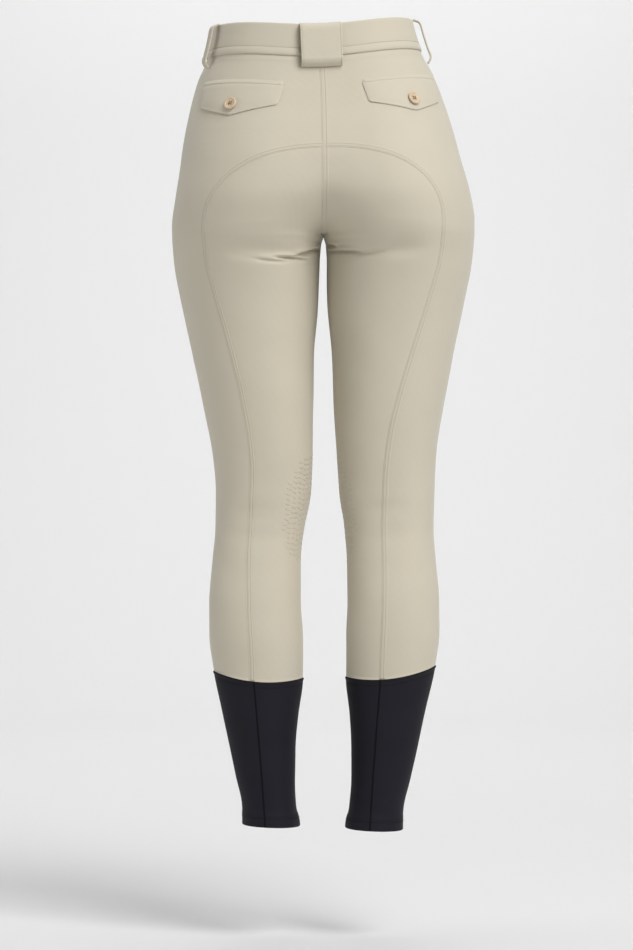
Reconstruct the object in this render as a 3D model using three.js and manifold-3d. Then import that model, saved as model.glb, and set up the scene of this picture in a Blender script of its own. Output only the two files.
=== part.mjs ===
// Full-length riding breeches that keep the hollow form they have when worn, with no wearer inside.
// Millimetres. +X is the wearer's right, +Y the wearer's front, +Z up, and the origin is the centre of the
// waist opening. Every cloth piece is a thin wall: its outer points lie on one worn form, and its inner
// points lie one cloth thickness further in. A point of the form is named by its side (+1 right, -1 left),
// its turn round the leg (0 at the outer side, positive through the back) and its height.

import * as THREE from 'three';
import { mergeVertices } from 'three/addons/utils/BufferGeometryUtils.js';
import Module from 'manifold-3d';

// Driving dimensions of the cut
const WAIST_TOP = 0;
const WAIST_SEAM = -39;
const ARC_TOP = -161;
const ARC_LOW = -254;
const ARC_HALF_WIDTH = 141;
const ARC_SQUARENESS = 2.25;
const CROTCH = -261;
const CUFF_SEAM = -784;
const HEM = -969;
const CUFF_SLANT = 5.5;
const CUFF_BACK_DROP = 7;
const SIDE_SEAM_TURN = THREE.MathUtils.degToRad(-14);
const INNER_SEAM_TURN = THREE.MathUtils.degToRad(-128);
const INNER_SEAM_SETTLES = -370;

// Cloth
const PANEL_WALL = 1.4;
const BAND_WALL = 3;
const CUFF_WALL = 1.2;
const CUFF_PROUD = 0.5;
const FLAP_WALL = 2;
const WELT_WALL = 1.2;
const SEAM_GAP = 0.3;
const LAY_GAP = 0.4;

// Back pockets, buttons and fly
const FLAP_TOP = -76;
const FLAP_POINT_TURN = THREE.MathUtils.degToRad(55);
const FLAP_OUTER_PART = 61;
const FLAP_INNER_PART = 56;
const FLAP_SIDE_DROP = 28;
const FLAP_TIP_DROP = 42;
const FLAP_OUTER_TAPER = 8;
const FLAP_LIFT = 1;
const WELT_DROP = 4.6;
const BUTTON_RADIUS = 8;
const BUTTON_THICK = 3;
const BUTTON_RIM = 1.6;
const BUTTON_DISH = 0.9;
const BUTTON_HOLE_RADIUS = 1;
const BUTTON_HOLE_REACH = 1.9;
const BUTTON_ABOVE_TIP = 13.5;
const FLY_WIDTH = 34;
const FLY_LOW = -188;
const FLY_WALL = 1.2;
const TAB_LENGTH = 34;
const TAB_BUTTON_IN = 14;

// Belt loops
const LOOP_GAP = 7.2;
const LOOP_FOOT_GAP = 0.9;
const LOOP_WALL = 1.8;
const LOOP_TOP = -2;
const LOOP_LOW = -53;
const WIDE_LOOP_LOW = -50.5;
const LOOP_BEND = 7;
const NARROW_LOOP = 10;
const WIDE_LOOP = 49;
const LOOPS = [
  { name: 'belt_loop_back', side: 1, turn: 90, width: WIDE_LOOP, low: WIDE_LOOP_LOW },
  { name: 'belt_loop_side_right', side: 1, turn: 9, width: NARROW_LOOP, low: LOOP_LOW },
  { name: 'belt_loop_side_left', side: -1, turn: 20, width: NARROW_LOOP, low: LOOP_LOW },
  { name: 'belt_loop_front_right', side: 1, turn: -56, width: NARROW_LOOP, low: LOOP_LOW },
  { name: 'belt_loop_front_left', side: -1, turn: -56, width: NARROW_LOOP, low: LOOP_LOW },
];

// Level sections of one side: outer and inner are the distances of the form from the middle of the body,
// centre is that of the leg's axis, front and back reach from the origin's plane, and square is the
// roundness of the section, 2 for an ellipse. Above the crotch the inner part is cut off at the middle.
const SECTIONS = [
  { z: 12, outer: 117, centre: 20, inner: 0, front: 91, back: 95, square: 2.2 },
  { z: 0, outer: 119, centre: 20, inner: 0, front: 92, back: 96, square: 2.2 },
  { z: -43, outer: 130, centre: 26, inner: 0, front: 99, back: 101, square: 2.2 },
  { z: -66, outer: 141.5, centre: 31, inner: 0, front: 103, back: 106, square: 2.15 },
  { z: -102, outer: 153, centre: 40, inner: 0, front: 108, back: 117, square: 2.1 },
  { z: -138, outer: 162, centre: 51, inner: 0, front: 109, back: 131, square: 2.05 },
  { z: -174, outer: 169, centre: 63, inner: 0, front: 107, back: 144, square: 2 },
  { z: -210, outer: 177, centre: 75, inner: 0, front: 103, back: 149, square: 2 },
  { z: -246, outer: 182, centre: 86, inner: 0, front: 99, back: 139, square: 2.05 },
  { z: -261, outer: 182, centre: 91, inner: 0, front: 98, back: 131.5, square: 2.1 },
  { z: -269, outer: 181.5, centre: 92, inner: 3, front: 97.5, back: 127, square: 2.1 },
  { z: -290, outer: 179.5, centre: 91.5, inner: 4.2, front: 97, back: 117, square: 2.1 },
  { z: -340, outer: 170.5, centre: 87.5, inner: 5.2, front: 96, back: 101.5, square: 2.1 },
  { z: -400, outer: 158, centre: 83, inner: 10.4, front: 91, back: 90, square: 2.1 },
  { z: -460, outer: 146, centre: 78.5, inner: 12.2, front: 83, back: 82, square: 2.1 },
  { z: -520, outer: 135.5, centre: 75, inner: 14.2, front: 72, back: 72, square: 2.15 },
  { z: -570, outer: 132, centre: 75, inner: 17, front: 64, back: 64, square: 2.2 },
  { z: -610, outer: 131.8, centre: 78, inner: 24, front: 57, back: 62, square: 2.2 },
  { z: -650, outer: 134.6, centre: 81, inner: 27.6, front: 47, back: 70, square: 2.1 },
  { z: -700, outer: 138.6, centre: 82.7, inner: 27.6, front: 37, back: 83, square: 2.05 },
  { z: -740, outer: 138.2, centre: 81, inner: 25.6, front: 30, back: 87, square: 2.05 },
  { z: -783, outer: 133, centre: 79, inner: 25.8, front: 24, back: 84, square: 2.05 },
  { z: -830, outer: 122.5, centre: 76.7, inner: 31, front: 17, back: 80, square: 2.05 },
  { z: -870, outer: 113.5, centre: 73.5, inner: 33.6, front: 13, back: 77, square: 2.05 },
  { z: -910, outer: 104.5, centre: 69, inner: 34, front: 10, back: 75, square: 2.1 },
  { z: -945, outer: 96.5, centre: 64.5, inner: 32, front: 10, back: 74, square: 2.1 },
  { z: -965, outer: 95.5, centre: 61.8, inner: 28, front: 13, back: 77, square: 2.1 },
  { z: -985, outer: 96, centre: 61.8, inner: 27, front: 15, back: 79, square: 2.1 },
];
// Heights over which the cleft fades, behind and in front: the rise seam is a U in the middle plane.
const CLEFT_BACK = 32;
const CLEFT_FRONT = 20;
const CROTCH_SOFTNESS = 9;
const BRIDGE_WIDTH = 13;
const BRIDGE_SETTLES = 70;

// The back leg seam below the seat arc, by its distance from the middle as seen from behind.
const BACK_SEAM = [
  { z: -254, across: 141 },
  { z: -283, across: 139 },
  { z: -335, across: 126 },
  { z: -388, across: 110 },
  { z: -450, across: 93 },
  { z: -504, across: 82 },
  { z: -550, across: 78 },
  { z: -600, across: 78 },
  { z: -655, across: 79.5 },
  { z: -700, across: 79 },
  { z: -783, across: 75.5 },
];
// Both legs stand turned a little to the same side, which carries their seams along.
const LEG_TURN_SHIFT = 9;
const LEG_TURN_FROM = -335;
const LEG_TURN_FULL = -620;

// Stance: the waist stands off to one side, turned and rolled a little on the hips.
const STANCE = [
  { z: 20, sway: -15, turn: 5.6, roll: 2.5 },
  { z: 0, sway: -14, turn: 5.4, roll: 2.5 },
  { z: -66, sway: -10.6, turn: 4.6, roll: 2.2 },
  { z: -150, sway: -6.4, turn: 2.6, roll: 1.8 },
  { z: -210, sway: -2.4, turn: 1, roll: 1.6 },
  { z: -260, sway: -0.8, turn: 0, roll: 1.2 },
  { z: -340, sway: -1.6, turn: 0, roll: 0 },
  { z: -460, sway: -0.8, turn: 0, roll: 0 },
  { z: -560, sway: 1.2, turn: 0, roll: 0 },
  { z: -640, sway: 0, turn: 0, roll: 0.6 },
  { z: -784, sway: 0.6, turn: 0, roll: 1.4 },
  { z: -880, sway: -0.6, turn: 0, roll: 0 },
  { z: -969, sway: -1.8, turn: 0, roll: -2 },
  { z: -990, sway: -1.8, turn: 0, roll: -2 },
];
const BACK_DIP = 13;
const BACK_DIP_WIDTH = 95;
const BACK_DIP_FROM = -150;
const BACK_DIP_FULL = -60;

// Soft troughs in the cloth: where each lies, how far it runs each way, how deep it is and how it rises
// towards the outer side. Below the seat and behind the knee.
const FOLDS = [
  { across: 62, z: -281, halfRun: 50, halfHeight: 10, depth: 5, rise: 0.06 },
  { across: 76, z: -592, halfRun: 34, halfHeight: 13, depth: 1.6, rise: -0.05 },
  { across: 80, z: -622, halfRun: 36, halfHeight: 12, depth: 1.4, rise: 0.08 },
];

// Grid sizes
const ROWS_ABOVE_ARC = 5;
const ROWS_TO_CROTCH = 15;
const ROWS = 34;
const ROW_EASE = 1.15;
const FRONT_COLUMNS = 8;
const BACK_COLUMNS = 9;
const SEAT_COLUMNS = 8;
const CUFF_ROWS = 8;
const CUFF_COLUMNS = 20;
const BAND_ROWS = 2;

const SLOTS = {
  cloth: { color: 0xc9c0ab, roughness: 0.85, metalness: 0 },
  cuff: { color: 0x25242a, roughness: 0.7, metalness: 0 },
  button: { color: 0xb9a27f, roughness: 0.45, metalness: 0 },
};

const wasm = await Module();
wasm.setup();
const breeches = new THREE.Group();
breeches.name = 'riding_breeches';

const clamp01 = (t) => Math.min(1, Math.max(0, t));
const ease = (t) => clamp01(t) ** 2 * (3 - 2 * clamp01(t));
const between = (a, b, t) => a + (b - a) * t;

// A smooth function of height through one column of a table, with no overshoot between its rows.
function follow(rows, column) {
  const sorted = [...rows].sort((a, b) => a.z - b.z);
  const z = sorted.map((row) => row.z);
  const v = sorted.map((row) => row[column]);
  const slope = z.slice(1).map((at, i) => (v[i + 1] - v[i]) / (at - z[i]));
  const tangent = z.map((_, i) => {
    if (i === 0 || i === z.length - 1 || slope[i - 1] * slope[i] <= 0) return 0;
    return (2 * slope[i - 1] * slope[i]) / (slope[i - 1] + slope[i]);
  });
  return (at) => {
    const i = Math.min(z.length - 2, Math.max(0, z.findIndex((top) => top > at) - 1));
    if (at >= z[z.length - 1]) return v[z.length - 1];
    if (at <= z[0]) return v[0];
    const span = z[i + 1] - z[i];
    const t = (at - z[i]) / span;
    const rise = t * t * (3 - 2 * t);
    const bend = tangent[i] * t * (1 - t) ** 2 - tangent[i + 1] * t * t * (1 - t);
    return between(v[i], v[i + 1], rise) + span * bend;
  };
}

const section = Object.fromEntries(
  ['outer', 'centre', 'inner', 'front', 'back', 'square'].map((name) => [name, follow(SECTIONS, name)]),
);
const stance = Object.fromEntries(['sway', 'turn', 'roll'].map((name) => [name, follow(STANCE, name)]));
const backSeamAcross = follow(BACK_SEAM, 'across');

// How much further the inner part of a section would reach than the middle plane that cuts it.
function cleftGrowth(z, behind) {
  const above = Math.hypot(Math.max(0, z - CROTCH), CROTCH_SOFTNESS) - CROTCH_SOFTNESS;
  return Math.exp(above / (2 * (behind ? CLEFT_BACK : CLEFT_FRONT)));
}

// The turn at which a section meets the middle plane, above the crotch.
function middleTurn(z, behind) {
  const near = 1 / cleftGrowth(z, behind);
  const far = (1 - Math.min(1, near ** section.square(z))) ** (1 / section.square(z));
  return (behind ? 1 : -1) * Math.atan2(far, -near);
}

// The stance carries a point of the upright form to where the wearer's stance puts it.
function takeStance(x, y, z) {
  const turn = THREE.MathUtils.degToRad(stance.turn(z));
  const roll = THREE.MathUtils.degToRad(stance.roll(z));
  const turnedX = x * Math.cos(turn) - y * Math.sin(turn);
  const turnedY = x * Math.sin(turn) + y * Math.cos(turn);
  const dip = y < 0 ? BACK_DIP * Math.exp(-((x / BACK_DIP_WIDTH) ** 2)) : 0;
  const up = ease((z - BACK_DIP_FROM) / (BACK_DIP_FULL - BACK_DIP_FROM));
  return new THREE.Vector3(turnedX + stance.sway(z), turnedY, z + turnedX * Math.tan(roll) - dip * up);
}

// A point of the worn form.
function formPoint(side, turn, z) {
  const behind = Math.sin(turn) >= 0;
  const square = section.square(z);
  const centre = section.centre(z);
  const growth = cleftGrowth(z, behind);
  const inward = z > CROTCH ? centre * growth : centre - section.inner(z);
  const outward = section.outer(z) - centre;
  const c = Math.cos(turn);
  const s = Math.sin(turn);
  const reach = (Math.abs(c) ** square + Math.abs(s) ** square) ** (-1 / square);
  const deep = (section.front(z) + section.back(z)) / 2;
  const across = centre + (c >= 0 ? outward : inward) * reach * c;
  let out = deep * reach * Math.abs(s);
  if (z > CROTCH) {
    // The cloth is taut from one side to the other, so it bridges the cleft in a soft hollow.
    const near = 1 / growth;
    const far = Math.max(0.05, (1 - near ** square) ** (1 / square));
    const slope = (deep / inward) * (near / far) ** (square - 1);
    const settled = ease((z - CROTCH) / BRIDGE_SETTLES);
    out += settled * slope * BRIDGE_WIDTH * Math.exp(-Math.max(0, across) / BRIDGE_WIDTH);
  }
  if (behind) {
    for (const fold of FOLDS) {
      const along = (across - fold.across) / fold.halfRun;
      const off = (z - fold.z - fold.rise * (across - fold.across)) / fold.halfHeight;
      out -= fold.depth * Math.exp(-along * along * along * along - off * off) * Math.abs(s);
    }
  }
  const y = (section.front(z) - section.back(z)) / 2 - (behind ? out : -out);
  const nearCuff = ease((z + 700) / (CUFF_SEAM + 700)) * ease((z - HEM) / (CUFF_SEAM - HEM));
  const slant = CUFF_SLANT * c - CUFF_BACK_DROP * Math.max(0, s) ** 2;
  const height = z + slant * nearCuff;
  return takeStance(side * (across + SEAM_GAP / 2), y, height);
}

// The outward direction of the form at a point.
function formNormal(side, turn, z) {
  const step = 0.004;
  const rise = 0.5;
  const round = formPoint(side, turn + step, z).sub(formPoint(side, turn - step, z));
  const up = formPoint(side, turn, z + rise).sub(formPoint(side, turn, z - rise));
  return round.cross(up).normalize().multiplyScalar(-side);
}

// A point of the form moved out by an offset.
function raised(side, turn, z, offset) {
  return formPoint(side, turn, z).addScaledVector(formNormal(side, turn, z), offset);
}

// The turn of the back point that lies a given distance from the middle, as seen from behind.
function turnAcross(z, across) {
  const square = section.square(z);
  const centre = section.centre(z);
  const inward = z > CROTCH ? centre * cleftGrowth(z, true) : centre - section.inner(z);
  const reach = across > centre ? section.outer(z) - centre : inward;
  const near = Math.max(-1, Math.min(1, (across - centre) / reach));
  return Math.atan2((1 - Math.abs(near) ** square) ** (1 / square), near);
}

// Triangles between two rows of points, by the shorter diagonals where the rows hold as many points.
function bridgeRows(first, second, points) {
  if (first.length === second.length) {
    return first.slice(1).flatMap((b, k) => {
      const [a, c, d] = [first[k], second[k], second[k + 1]];
      const falls = points[a].distanceTo(points[d]) < points[b].distanceTo(points[c]);
      return falls ? [[a, b, d], [a, d, c]] : [[a, b, c], [b, d, c]];
    });
  }
  const faces = [];
  let i = 0;
  let j = 0;
  while (i < first.length - 1 || j < second.length - 1) {
    const nextI = (i + 1) / Math.max(1, first.length - 1);
    const nextJ = (j + 1) / Math.max(1, second.length - 1);
    if (j === second.length - 1 || (i < first.length - 1 && nextI <= nextJ)) {
      faces.push([first[i], first[i + 1], second[j]]);
      i += 1;
    } else {
      faces.push([first[i], second[j + 1], second[j]]);
      j += 1;
    }
  }
  return faces;
}

// A closed wall from rows of outer and inner points. The rim joins the two faces along every free edge.
function wallGeometry(rows, closedRound = false) {
  const outer = rows.flat().map((pair) => pair.outer);
  const inner = rows.flat().map((pair) => pair.inner);
  let start = 0;
  const numbered = rows.map((row) => {
    const ids = row.map((_, j) => start + j);
    start += row.length;
    return closedRound ? [...ids, ids[0]] : ids;
  });
  const faces = numbered.slice(1).flatMap((row, i) => bridgeRows(numbered[i], row, outer));
  const used = new Map();
  for (const [a, b, c] of faces) {
    for (const [from, to] of [[a, b], [b, c], [c, a]]) used.set(`${from},${to}`, [from, to]);
  }
  const free = [...used.values()].filter(([from, to]) => !used.has(`${to},${from}`));
  const count = outer.length;
  const all = [
    ...faces,
    ...faces.map(([a, b, c]) => [a + count, c + count, b + count]),
    ...free.flatMap(([from, to]) => [[to, from, from + count], [to, from + count, to + count]]),
  ];
  const points = [...outer, ...inner];
  const volume = all.reduce(
    (sum, [a, b, c]) => sum + points[a].dot(points[b].clone().cross(points[c])),
    0,
  );
  const turned = volume < 0 ? all.map(([a, b, c]) => [a, c, b]) : all;
  return new THREE.BufferGeometry().setFromPoints(points).setIndex(turned.flat());
}

// One pair of wall points at a turn and height, between two offsets from the form.
function pairAt(side, turn, z, outerOffset, innerOffset) {
  return { outer: raised(side, turn, z, outerOffset), inner: raised(side, turn, z, innerOffset) };
}

// Moves one end of every row into its panel by half a seam gap, square to the seam.
function openSeam(rows, end) {
  const at = (row, step) => row[Math.min(row.length - 1, Math.max(0, end === 0 ? step : row.length - 1 - step))];
  const moves = rows.map((row, i) => {
    const along = at(rows[Math.min(rows.length - 1, i + 1)], 0).outer.clone();
    along.sub(at(rows[Math.max(0, i - 1)], 0).outer).normalize();
    const target = row.length > 1 ? at(row, 1).outer : at(rows[i + 1], 1).outer;
    const toward = target.clone().sub(at(row, 0).outer);
    return toward.addScaledVector(along, -toward.dot(along)).normalize().multiplyScalar(SEAM_GAP / 2);
  });
  rows.forEach((row, i) => {
    at(row, 0).outer.add(moves[i]);
    at(row, 0).inner.add(moves[i]);
  });
}

function addPiece(name, geometry, slot, parent = breeches) {
  const mesh = new THREE.Mesh(geometry, new THREE.MeshStandardMaterial(SLOTS[slot]));
  mesh.name = name;
  parent.add(mesh);
  return mesh;
}

// Points spaced evenly along a curve of the form, given as a function from 0 to 1 to a turn and height.
function evenStations(side, curve, segments) {
  const fine = Array.from({ length: 401 }, (_, i) => curve(i / 400));
  const length = [0];
  for (let i = 1; i < fine.length; i += 1) {
    const step = formPoint(side, fine[i].turn, fine[i].z).distanceTo(
      formPoint(side, fine[i - 1].turn, fine[i - 1].z),
    );
    length.push(length[i - 1] + step);
  }
  return Array.from({ length: segments + 1 }, (_, k) => {
    const wanted = (length[length.length - 1] * k) / segments;
    const i = Math.max(1, length.findIndex((reached) => reached >= wanted - 1e-9));
    const t = (wanted - length[i - 1]) / Math.max(1e-9, length[i] - length[i - 1]);
    return {
      turn: between(fine[i - 1].turn, fine[i].turn, t),
      z: between(fine[i - 1].z, fine[i].z, t),
    };
  });
}

// The seat arc and the back leg seam, as a turn at a height.
function backSeamTurn(side, z, across) {
  const shift = LEG_TURN_SHIFT * ease((LEG_TURN_FROM - z) / (LEG_TURN_FROM - LEG_TURN_FULL));
  return turnAcross(z, across - side * shift);
}

function seatArc(side, t) {
  const swing = (t * Math.PI) / 2;
  const across = ARC_HALF_WIDTH * Math.sin(swing) ** (2 / ARC_SQUARENESS);
  const z = ARC_LOW + (ARC_TOP - ARC_LOW) * Math.cos(swing) ** (2 / ARC_SQUARENESS);
  return { turn: across > 0 ? backSeamTurn(side, z, across) : middleTurn(z, true), z };
}

// The front seam of the inner leg runs from the crotch point to its place on the inner front of the leg.
function innerSeamTurn(z) {
  return between(-Math.PI, INNER_SEAM_TURN, ease((CROTCH - z) / (CROTCH - INNER_SEAM_SETTLES)));
}

// The ends of every row of the panels of one side: the middle front, the side seam, the back seam and the
// middle back, from the waist seam to the cuff seam.
function rowEnds(side) {
  const legHeights = Array.from({ length: ROWS - ROWS_TO_CROTCH + 1 }, (_, i) =>
    between(CROTCH, CUFF_SEAM + SEAM_GAP / 2, (i / (ROWS - ROWS_TO_CROTCH)) ** ROW_EASE),
  );
  const top = WAIST_SEAM - SEAM_GAP / 2;
  const rise = (behind, from) => (t) => {
    // Heights close up towards the crotch, where the rise seam runs level.
    const z = CROTCH + (from - CROTCH) * (1 - t) ** 2;
    return { turn: middleTurn(z, behind), z };
  };
  const frontMiddle = evenStations(side, rise(false, top), ROWS_TO_CROTCH);
  const seatMiddle = evenStations(side, rise(true, ARC_TOP), ROWS_TO_CROTCH - ROWS_ABOVE_ARC);
  const arcEnd = (t) => {
    const z = between(ARC_LOW, CROTCH, t);
    return { turn: backSeamTurn(side, z, backSeamAcross(z)), z };
  };
  const arcShare = 0.95;
  const arc = evenStations(
    side,
    (t) => (t < arcShare ? seatArc(side, t / arcShare) : arcEnd((t - arcShare) / (1 - arcShare))),
    ROWS_TO_CROTCH - ROWS_ABOVE_ARC,
  );
  return Array.from({ length: ROWS + 1 }, (_, i) => {
    const leg = legHeights[i - ROWS_TO_CROTCH];
    const upper = between(top, ARC_TOP, i / ROWS_ABOVE_ARC);
    const hip = between(ARC_TOP, CROTCH, (i - ROWS_ABOVE_ARC) / (ROWS_TO_CROTCH - ROWS_ABOVE_ARC));
    const sideHeight = leg ?? (i < ROWS_ABOVE_ARC ? upper : hip);
    const onLeg = (turn) => ({ turn, z: leg });
    const inLeg = leg !== undefined && i > ROWS_TO_CROTCH;
    return {
      frontMiddle: inLeg ? onLeg(innerSeamTurn(leg)) : frontMiddle[i],
      side: { turn: SIDE_SEAM_TURN, z: sideHeight },
      backSeam: inLeg
        ? onLeg(backSeamTurn(side, leg, backSeamAcross(leg)))
        : arc[i - ROWS_ABOVE_ARC] ?? { turn: middleTurn(upper, true), z: upper },
      seatMiddle: inLeg ? onLeg(innerSeamTurn(leg) + 2 * Math.PI) : seatMiddle[i - ROWS_ABOVE_ARC],
    };
  });
}

// The turn of the inner edge of a section, where the two sides or the two inner leg seams meet.
function innerEdgeTurn(z, behind) {
  if (z > CROTCH) return middleTurn(z, behind);
  return innerSeamTurn(z) + (behind ? 2 * Math.PI : 0);
}

// A row from a place on a seam to the inner edge, or the other way round, keeping clear of the cleft.
function rowToInner(side, from, edge, behind, columns) {
  return Array.from({ length: columns + 1 }, (_, j) => {
    const t = columns ? j / columns : 0;
    const z = between(from.z, edge.z, t);
    return pairAt(side, between(from.turn, innerEdgeTurn(z, behind), t), z, 0, -PANEL_WALL);
  });
}

function rowBetween(side, from, to, columns) {
  return Array.from({ length: columns + 1 }, (_, j) => {
    const t = j / columns;
    return pairAt(side, between(from.turn, to.turn, t), between(from.z, to.z, t), 0, -PANEL_WALL);
  });
}

function addLegPanels(side, label) {
  const ends = rowEnds(side);
  const front = ends.map((end) => rowToInner(side, end.side, end.frontMiddle, false, FRONT_COLUMNS));
  openSeam(front, 0);
  openSeam(front.slice(ROWS_TO_CROTCH), 1);
  addPiece(`front_${label}`, wallGeometry(front), 'cloth');

  const back = ends.map((end) => rowBetween(side, end.side, end.backSeam, BACK_COLUMNS));
  openSeam(back, 0);
  openSeam(back.slice(ROWS_ABOVE_ARC), 1);
  addPiece(`back_${label}`, wallGeometry(back), 'cloth');

  const seat = ends.slice(ROWS_ABOVE_ARC).map((end, i) =>
    rowToInner(side, end.backSeam, end.seatMiddle, true, Math.min(SEAT_COLUMNS, 2 * i)),
  );
  openSeam(seat, 0);
  openSeam(seat.slice(ROWS_TO_CROTCH - ROWS_ABOVE_ARC), 1);
  addPiece(`seat_${label}`, wallGeometry(seat), 'cloth');
}

// A stretch cuff is one tube from the cuff seam to the hem, a little proud of the leg above it.
function addCuff(side, label) {
  const rows = Array.from({ length: CUFF_ROWS + 1 }, (_, i) => {
    const z = between(CUFF_SEAM - SEAM_GAP / 2, HEM, i / CUFF_ROWS);
    return Array.from({ length: CUFF_COLUMNS }, (_, j) =>
      pairAt(side, (j / CUFF_COLUMNS) * 2 * Math.PI, z, CUFF_PROUD, CUFF_PROUD - CUFF_WALL),
    );
  });
  addPiece(`cuff_${label}`, wallGeometry(rows, true), 'cuff');
}

// The turns of one side of the waist line at a height, from the middle front to the middle back.
function waistTurns(z) {
  const front = Array.from({ length: FRONT_COLUMNS }, (_, j) =>
    between(middleTurn(z, false), SIDE_SEAM_TURN, j / FRONT_COLUMNS),
  );
  const back = Array.from({ length: BACK_COLUMNS + 1 }, (_, j) =>
    between(SIDE_SEAM_TURN, middleTurn(z, true), j / BACK_COLUMNS),
  );
  return [...front, ...back];
}

// The waistband is one strip from the middle front round the right side, the back and the left side. Its
// first end is lifted and laps over the last one.
function addWaistband() {
  const rows = Array.from({ length: BAND_ROWS + 1 }, (_, i) => {
    const z = between(WAIST_TOP, WAIST_SEAM + SEAM_GAP / 2, i / BAND_ROWS);
    const turns = waistTurns(z);
    const tab = [TAB_LENGTH, TAB_LENGTH / 2].map((across) => ({ side: -1, turn: -frontTurnAcross(z, across) }));
    const right = turns.map((turn) => ({ side: 1, turn }));
    const left = turns.slice(0, -1).reverse().map((turn) => ({ side: -1, turn }));
    return [...tab, ...right, ...left].map(({ side, turn }, j) => {
      const lift = (BAND_WALL + LAY_GAP) * (1 - ease((j - 3) / 2));
      return pairAt(side, turn, z, BAND_WALL / 2 + lift, lift - BAND_WALL / 2);
    });
  });
  addPiece('waistband', wallGeometry(rows), 'cloth');
}

// A belt loop is a strip that leaves the top of the waistband, stands off it and returns below its seam.
function addLoop({ name, side, turn, width, low }) {
  const bandFace = BAND_WALL / 2 + LAY_GAP;
  const path = [
    { z: LOOP_TOP, offset: bandFace },
    { z: LOOP_TOP - LOOP_BEND / 2, offset: bandFace + LOOP_GAP * 0.8 },
    { z: LOOP_TOP - LOOP_BEND, offset: bandFace + LOOP_GAP },
    { z: (LOOP_TOP + low) / 2, offset: bandFace + LOOP_GAP },
    { z: low + LOOP_BEND, offset: bandFace + LOOP_GAP * 0.96 },
    { z: low + LOOP_BEND * 0.4, offset: bandFace + LOOP_GAP * 0.6 },
    { z: low, offset: LOOP_FOOT_GAP },
  ];
  const columns = Math.max(2, Math.round(width / 7));
  const middle = turn === 90 ? middleTurn(WAIST_SEAM, true) : THREE.MathUtils.degToRad(turn);
  const radius = formPoint(side, middle, WAIST_SEAM).sub(formPoint(side, middle - 0.01, WAIST_SEAM)).length() / 0.01;
  const rows = path.map((here, i) => {
    const before = path[Math.max(0, i - 1)];
    const after = path[Math.min(path.length - 1, i + 1)];
    const run = Math.hypot(after.z - before.z, after.offset - before.offset);
    const outward = (before.z - after.z) / run;
    const upward = (after.offset - before.offset) / run;
    return Array.from({ length: columns + 1 }, (_, j) => {
      const shift = (j / columns - 0.5) * width;
      const crossed = turn === 90 && shift > 0;
      const placeSide = crossed ? -side : side;
      const at = turn === 90
        ? turnAcross(here.z, Math.abs(shift))
        : middle + shift / radius;
      const outerZ = here.z + upward * LOOP_WALL;
      return {
        outer: raised(placeSide, at, outerZ, here.offset + outward * LOOP_WALL),
        inner: raised(placeSide, at, here.z, here.offset),
      };
    });
  });
  addPiece(name, wallGeometry(rows), 'cloth');
}

// The turn that lies a given length of cloth further round from another one, at one height.
function turnBeyond(side, from, z, length) {
  const step = 0.002 * Math.sign(length);
  let turn = from;
  let gone = 0;
  while (gone < Math.abs(length)) {
    gone += formPoint(side, turn, z).distanceTo(formPoint(side, turn + step, z));
    turn += step;
  }
  return turn;
}

function buttonGeometry() {
  const profile = [
    [0, 0], [BUTTON_RADIUS - 1, 0], [BUTTON_RADIUS, 0.9], [BUTTON_RADIUS, BUTTON_THICK - 0.7],
    [BUTTON_RADIUS - 0.7, BUTTON_THICK], [BUTTON_RADIUS - BUTTON_RIM, BUTTON_THICK],
    [BUTTON_RADIUS - BUTTON_RIM - 0.9, BUTTON_THICK - BUTTON_DISH], [0, BUTTON_THICK - BUTTON_DISH],
  ].map(([radius, height]) => new THREE.Vector2(radius, height));
  const solid = solidOf(new THREE.LatheGeometry(profile, 20).rotateX(Math.PI / 2));
  const drilled = [45, 135, 225, 315].reduce((rest, degrees) => {
    const angle = THREE.MathUtils.degToRad(degrees);
    const drill = new THREE.CylinderGeometry(BUTTON_HOLE_RADIUS, BUTTON_HOLE_RADIUS, BUTTON_THICK * 3, 8);
    drill.rotateX(Math.PI / 2).translate(
      BUTTON_HOLE_REACH * Math.cos(angle),
      BUTTON_HOLE_REACH * Math.sin(angle),
      0,
    );
    return rest.subtract(solidOf(drill));
  }, solid);
  return geometryOf(drilled);
}

function solidOf(geometry) {
  const bare = geometry.clone();
  bare.deleteAttribute('normal');
  bare.deleteAttribute('uv');
  const merged = mergeVertices(bare, 1e-4);
  const mesh = new wasm.Mesh({
    numProp: 3,
    vertProperties: merged.attributes.position.array,
    triVerts: new Uint32Array(merged.index.array),
  });
  return new wasm.Manifold(mesh);
}

function geometryOf(solid) {
  const mesh = solid.getMesh();
  return new THREE.BufferGeometry()
    .setAttribute('position', new THREE.BufferAttribute(mesh.vertProperties, 3))
    .setIndex(new THREE.BufferAttribute(mesh.triVerts, 1));
}

function addButton(name, side, turn, z, offset) {
  const mesh = addPiece(name, buttonGeometry(), 'button');
  mesh.position.copy(raised(side, turn, z, offset));
  mesh.quaternion.setFromUnitVectors(new THREE.Vector3(0, 0, 1), formNormal(side, turn, z));
}

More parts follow.
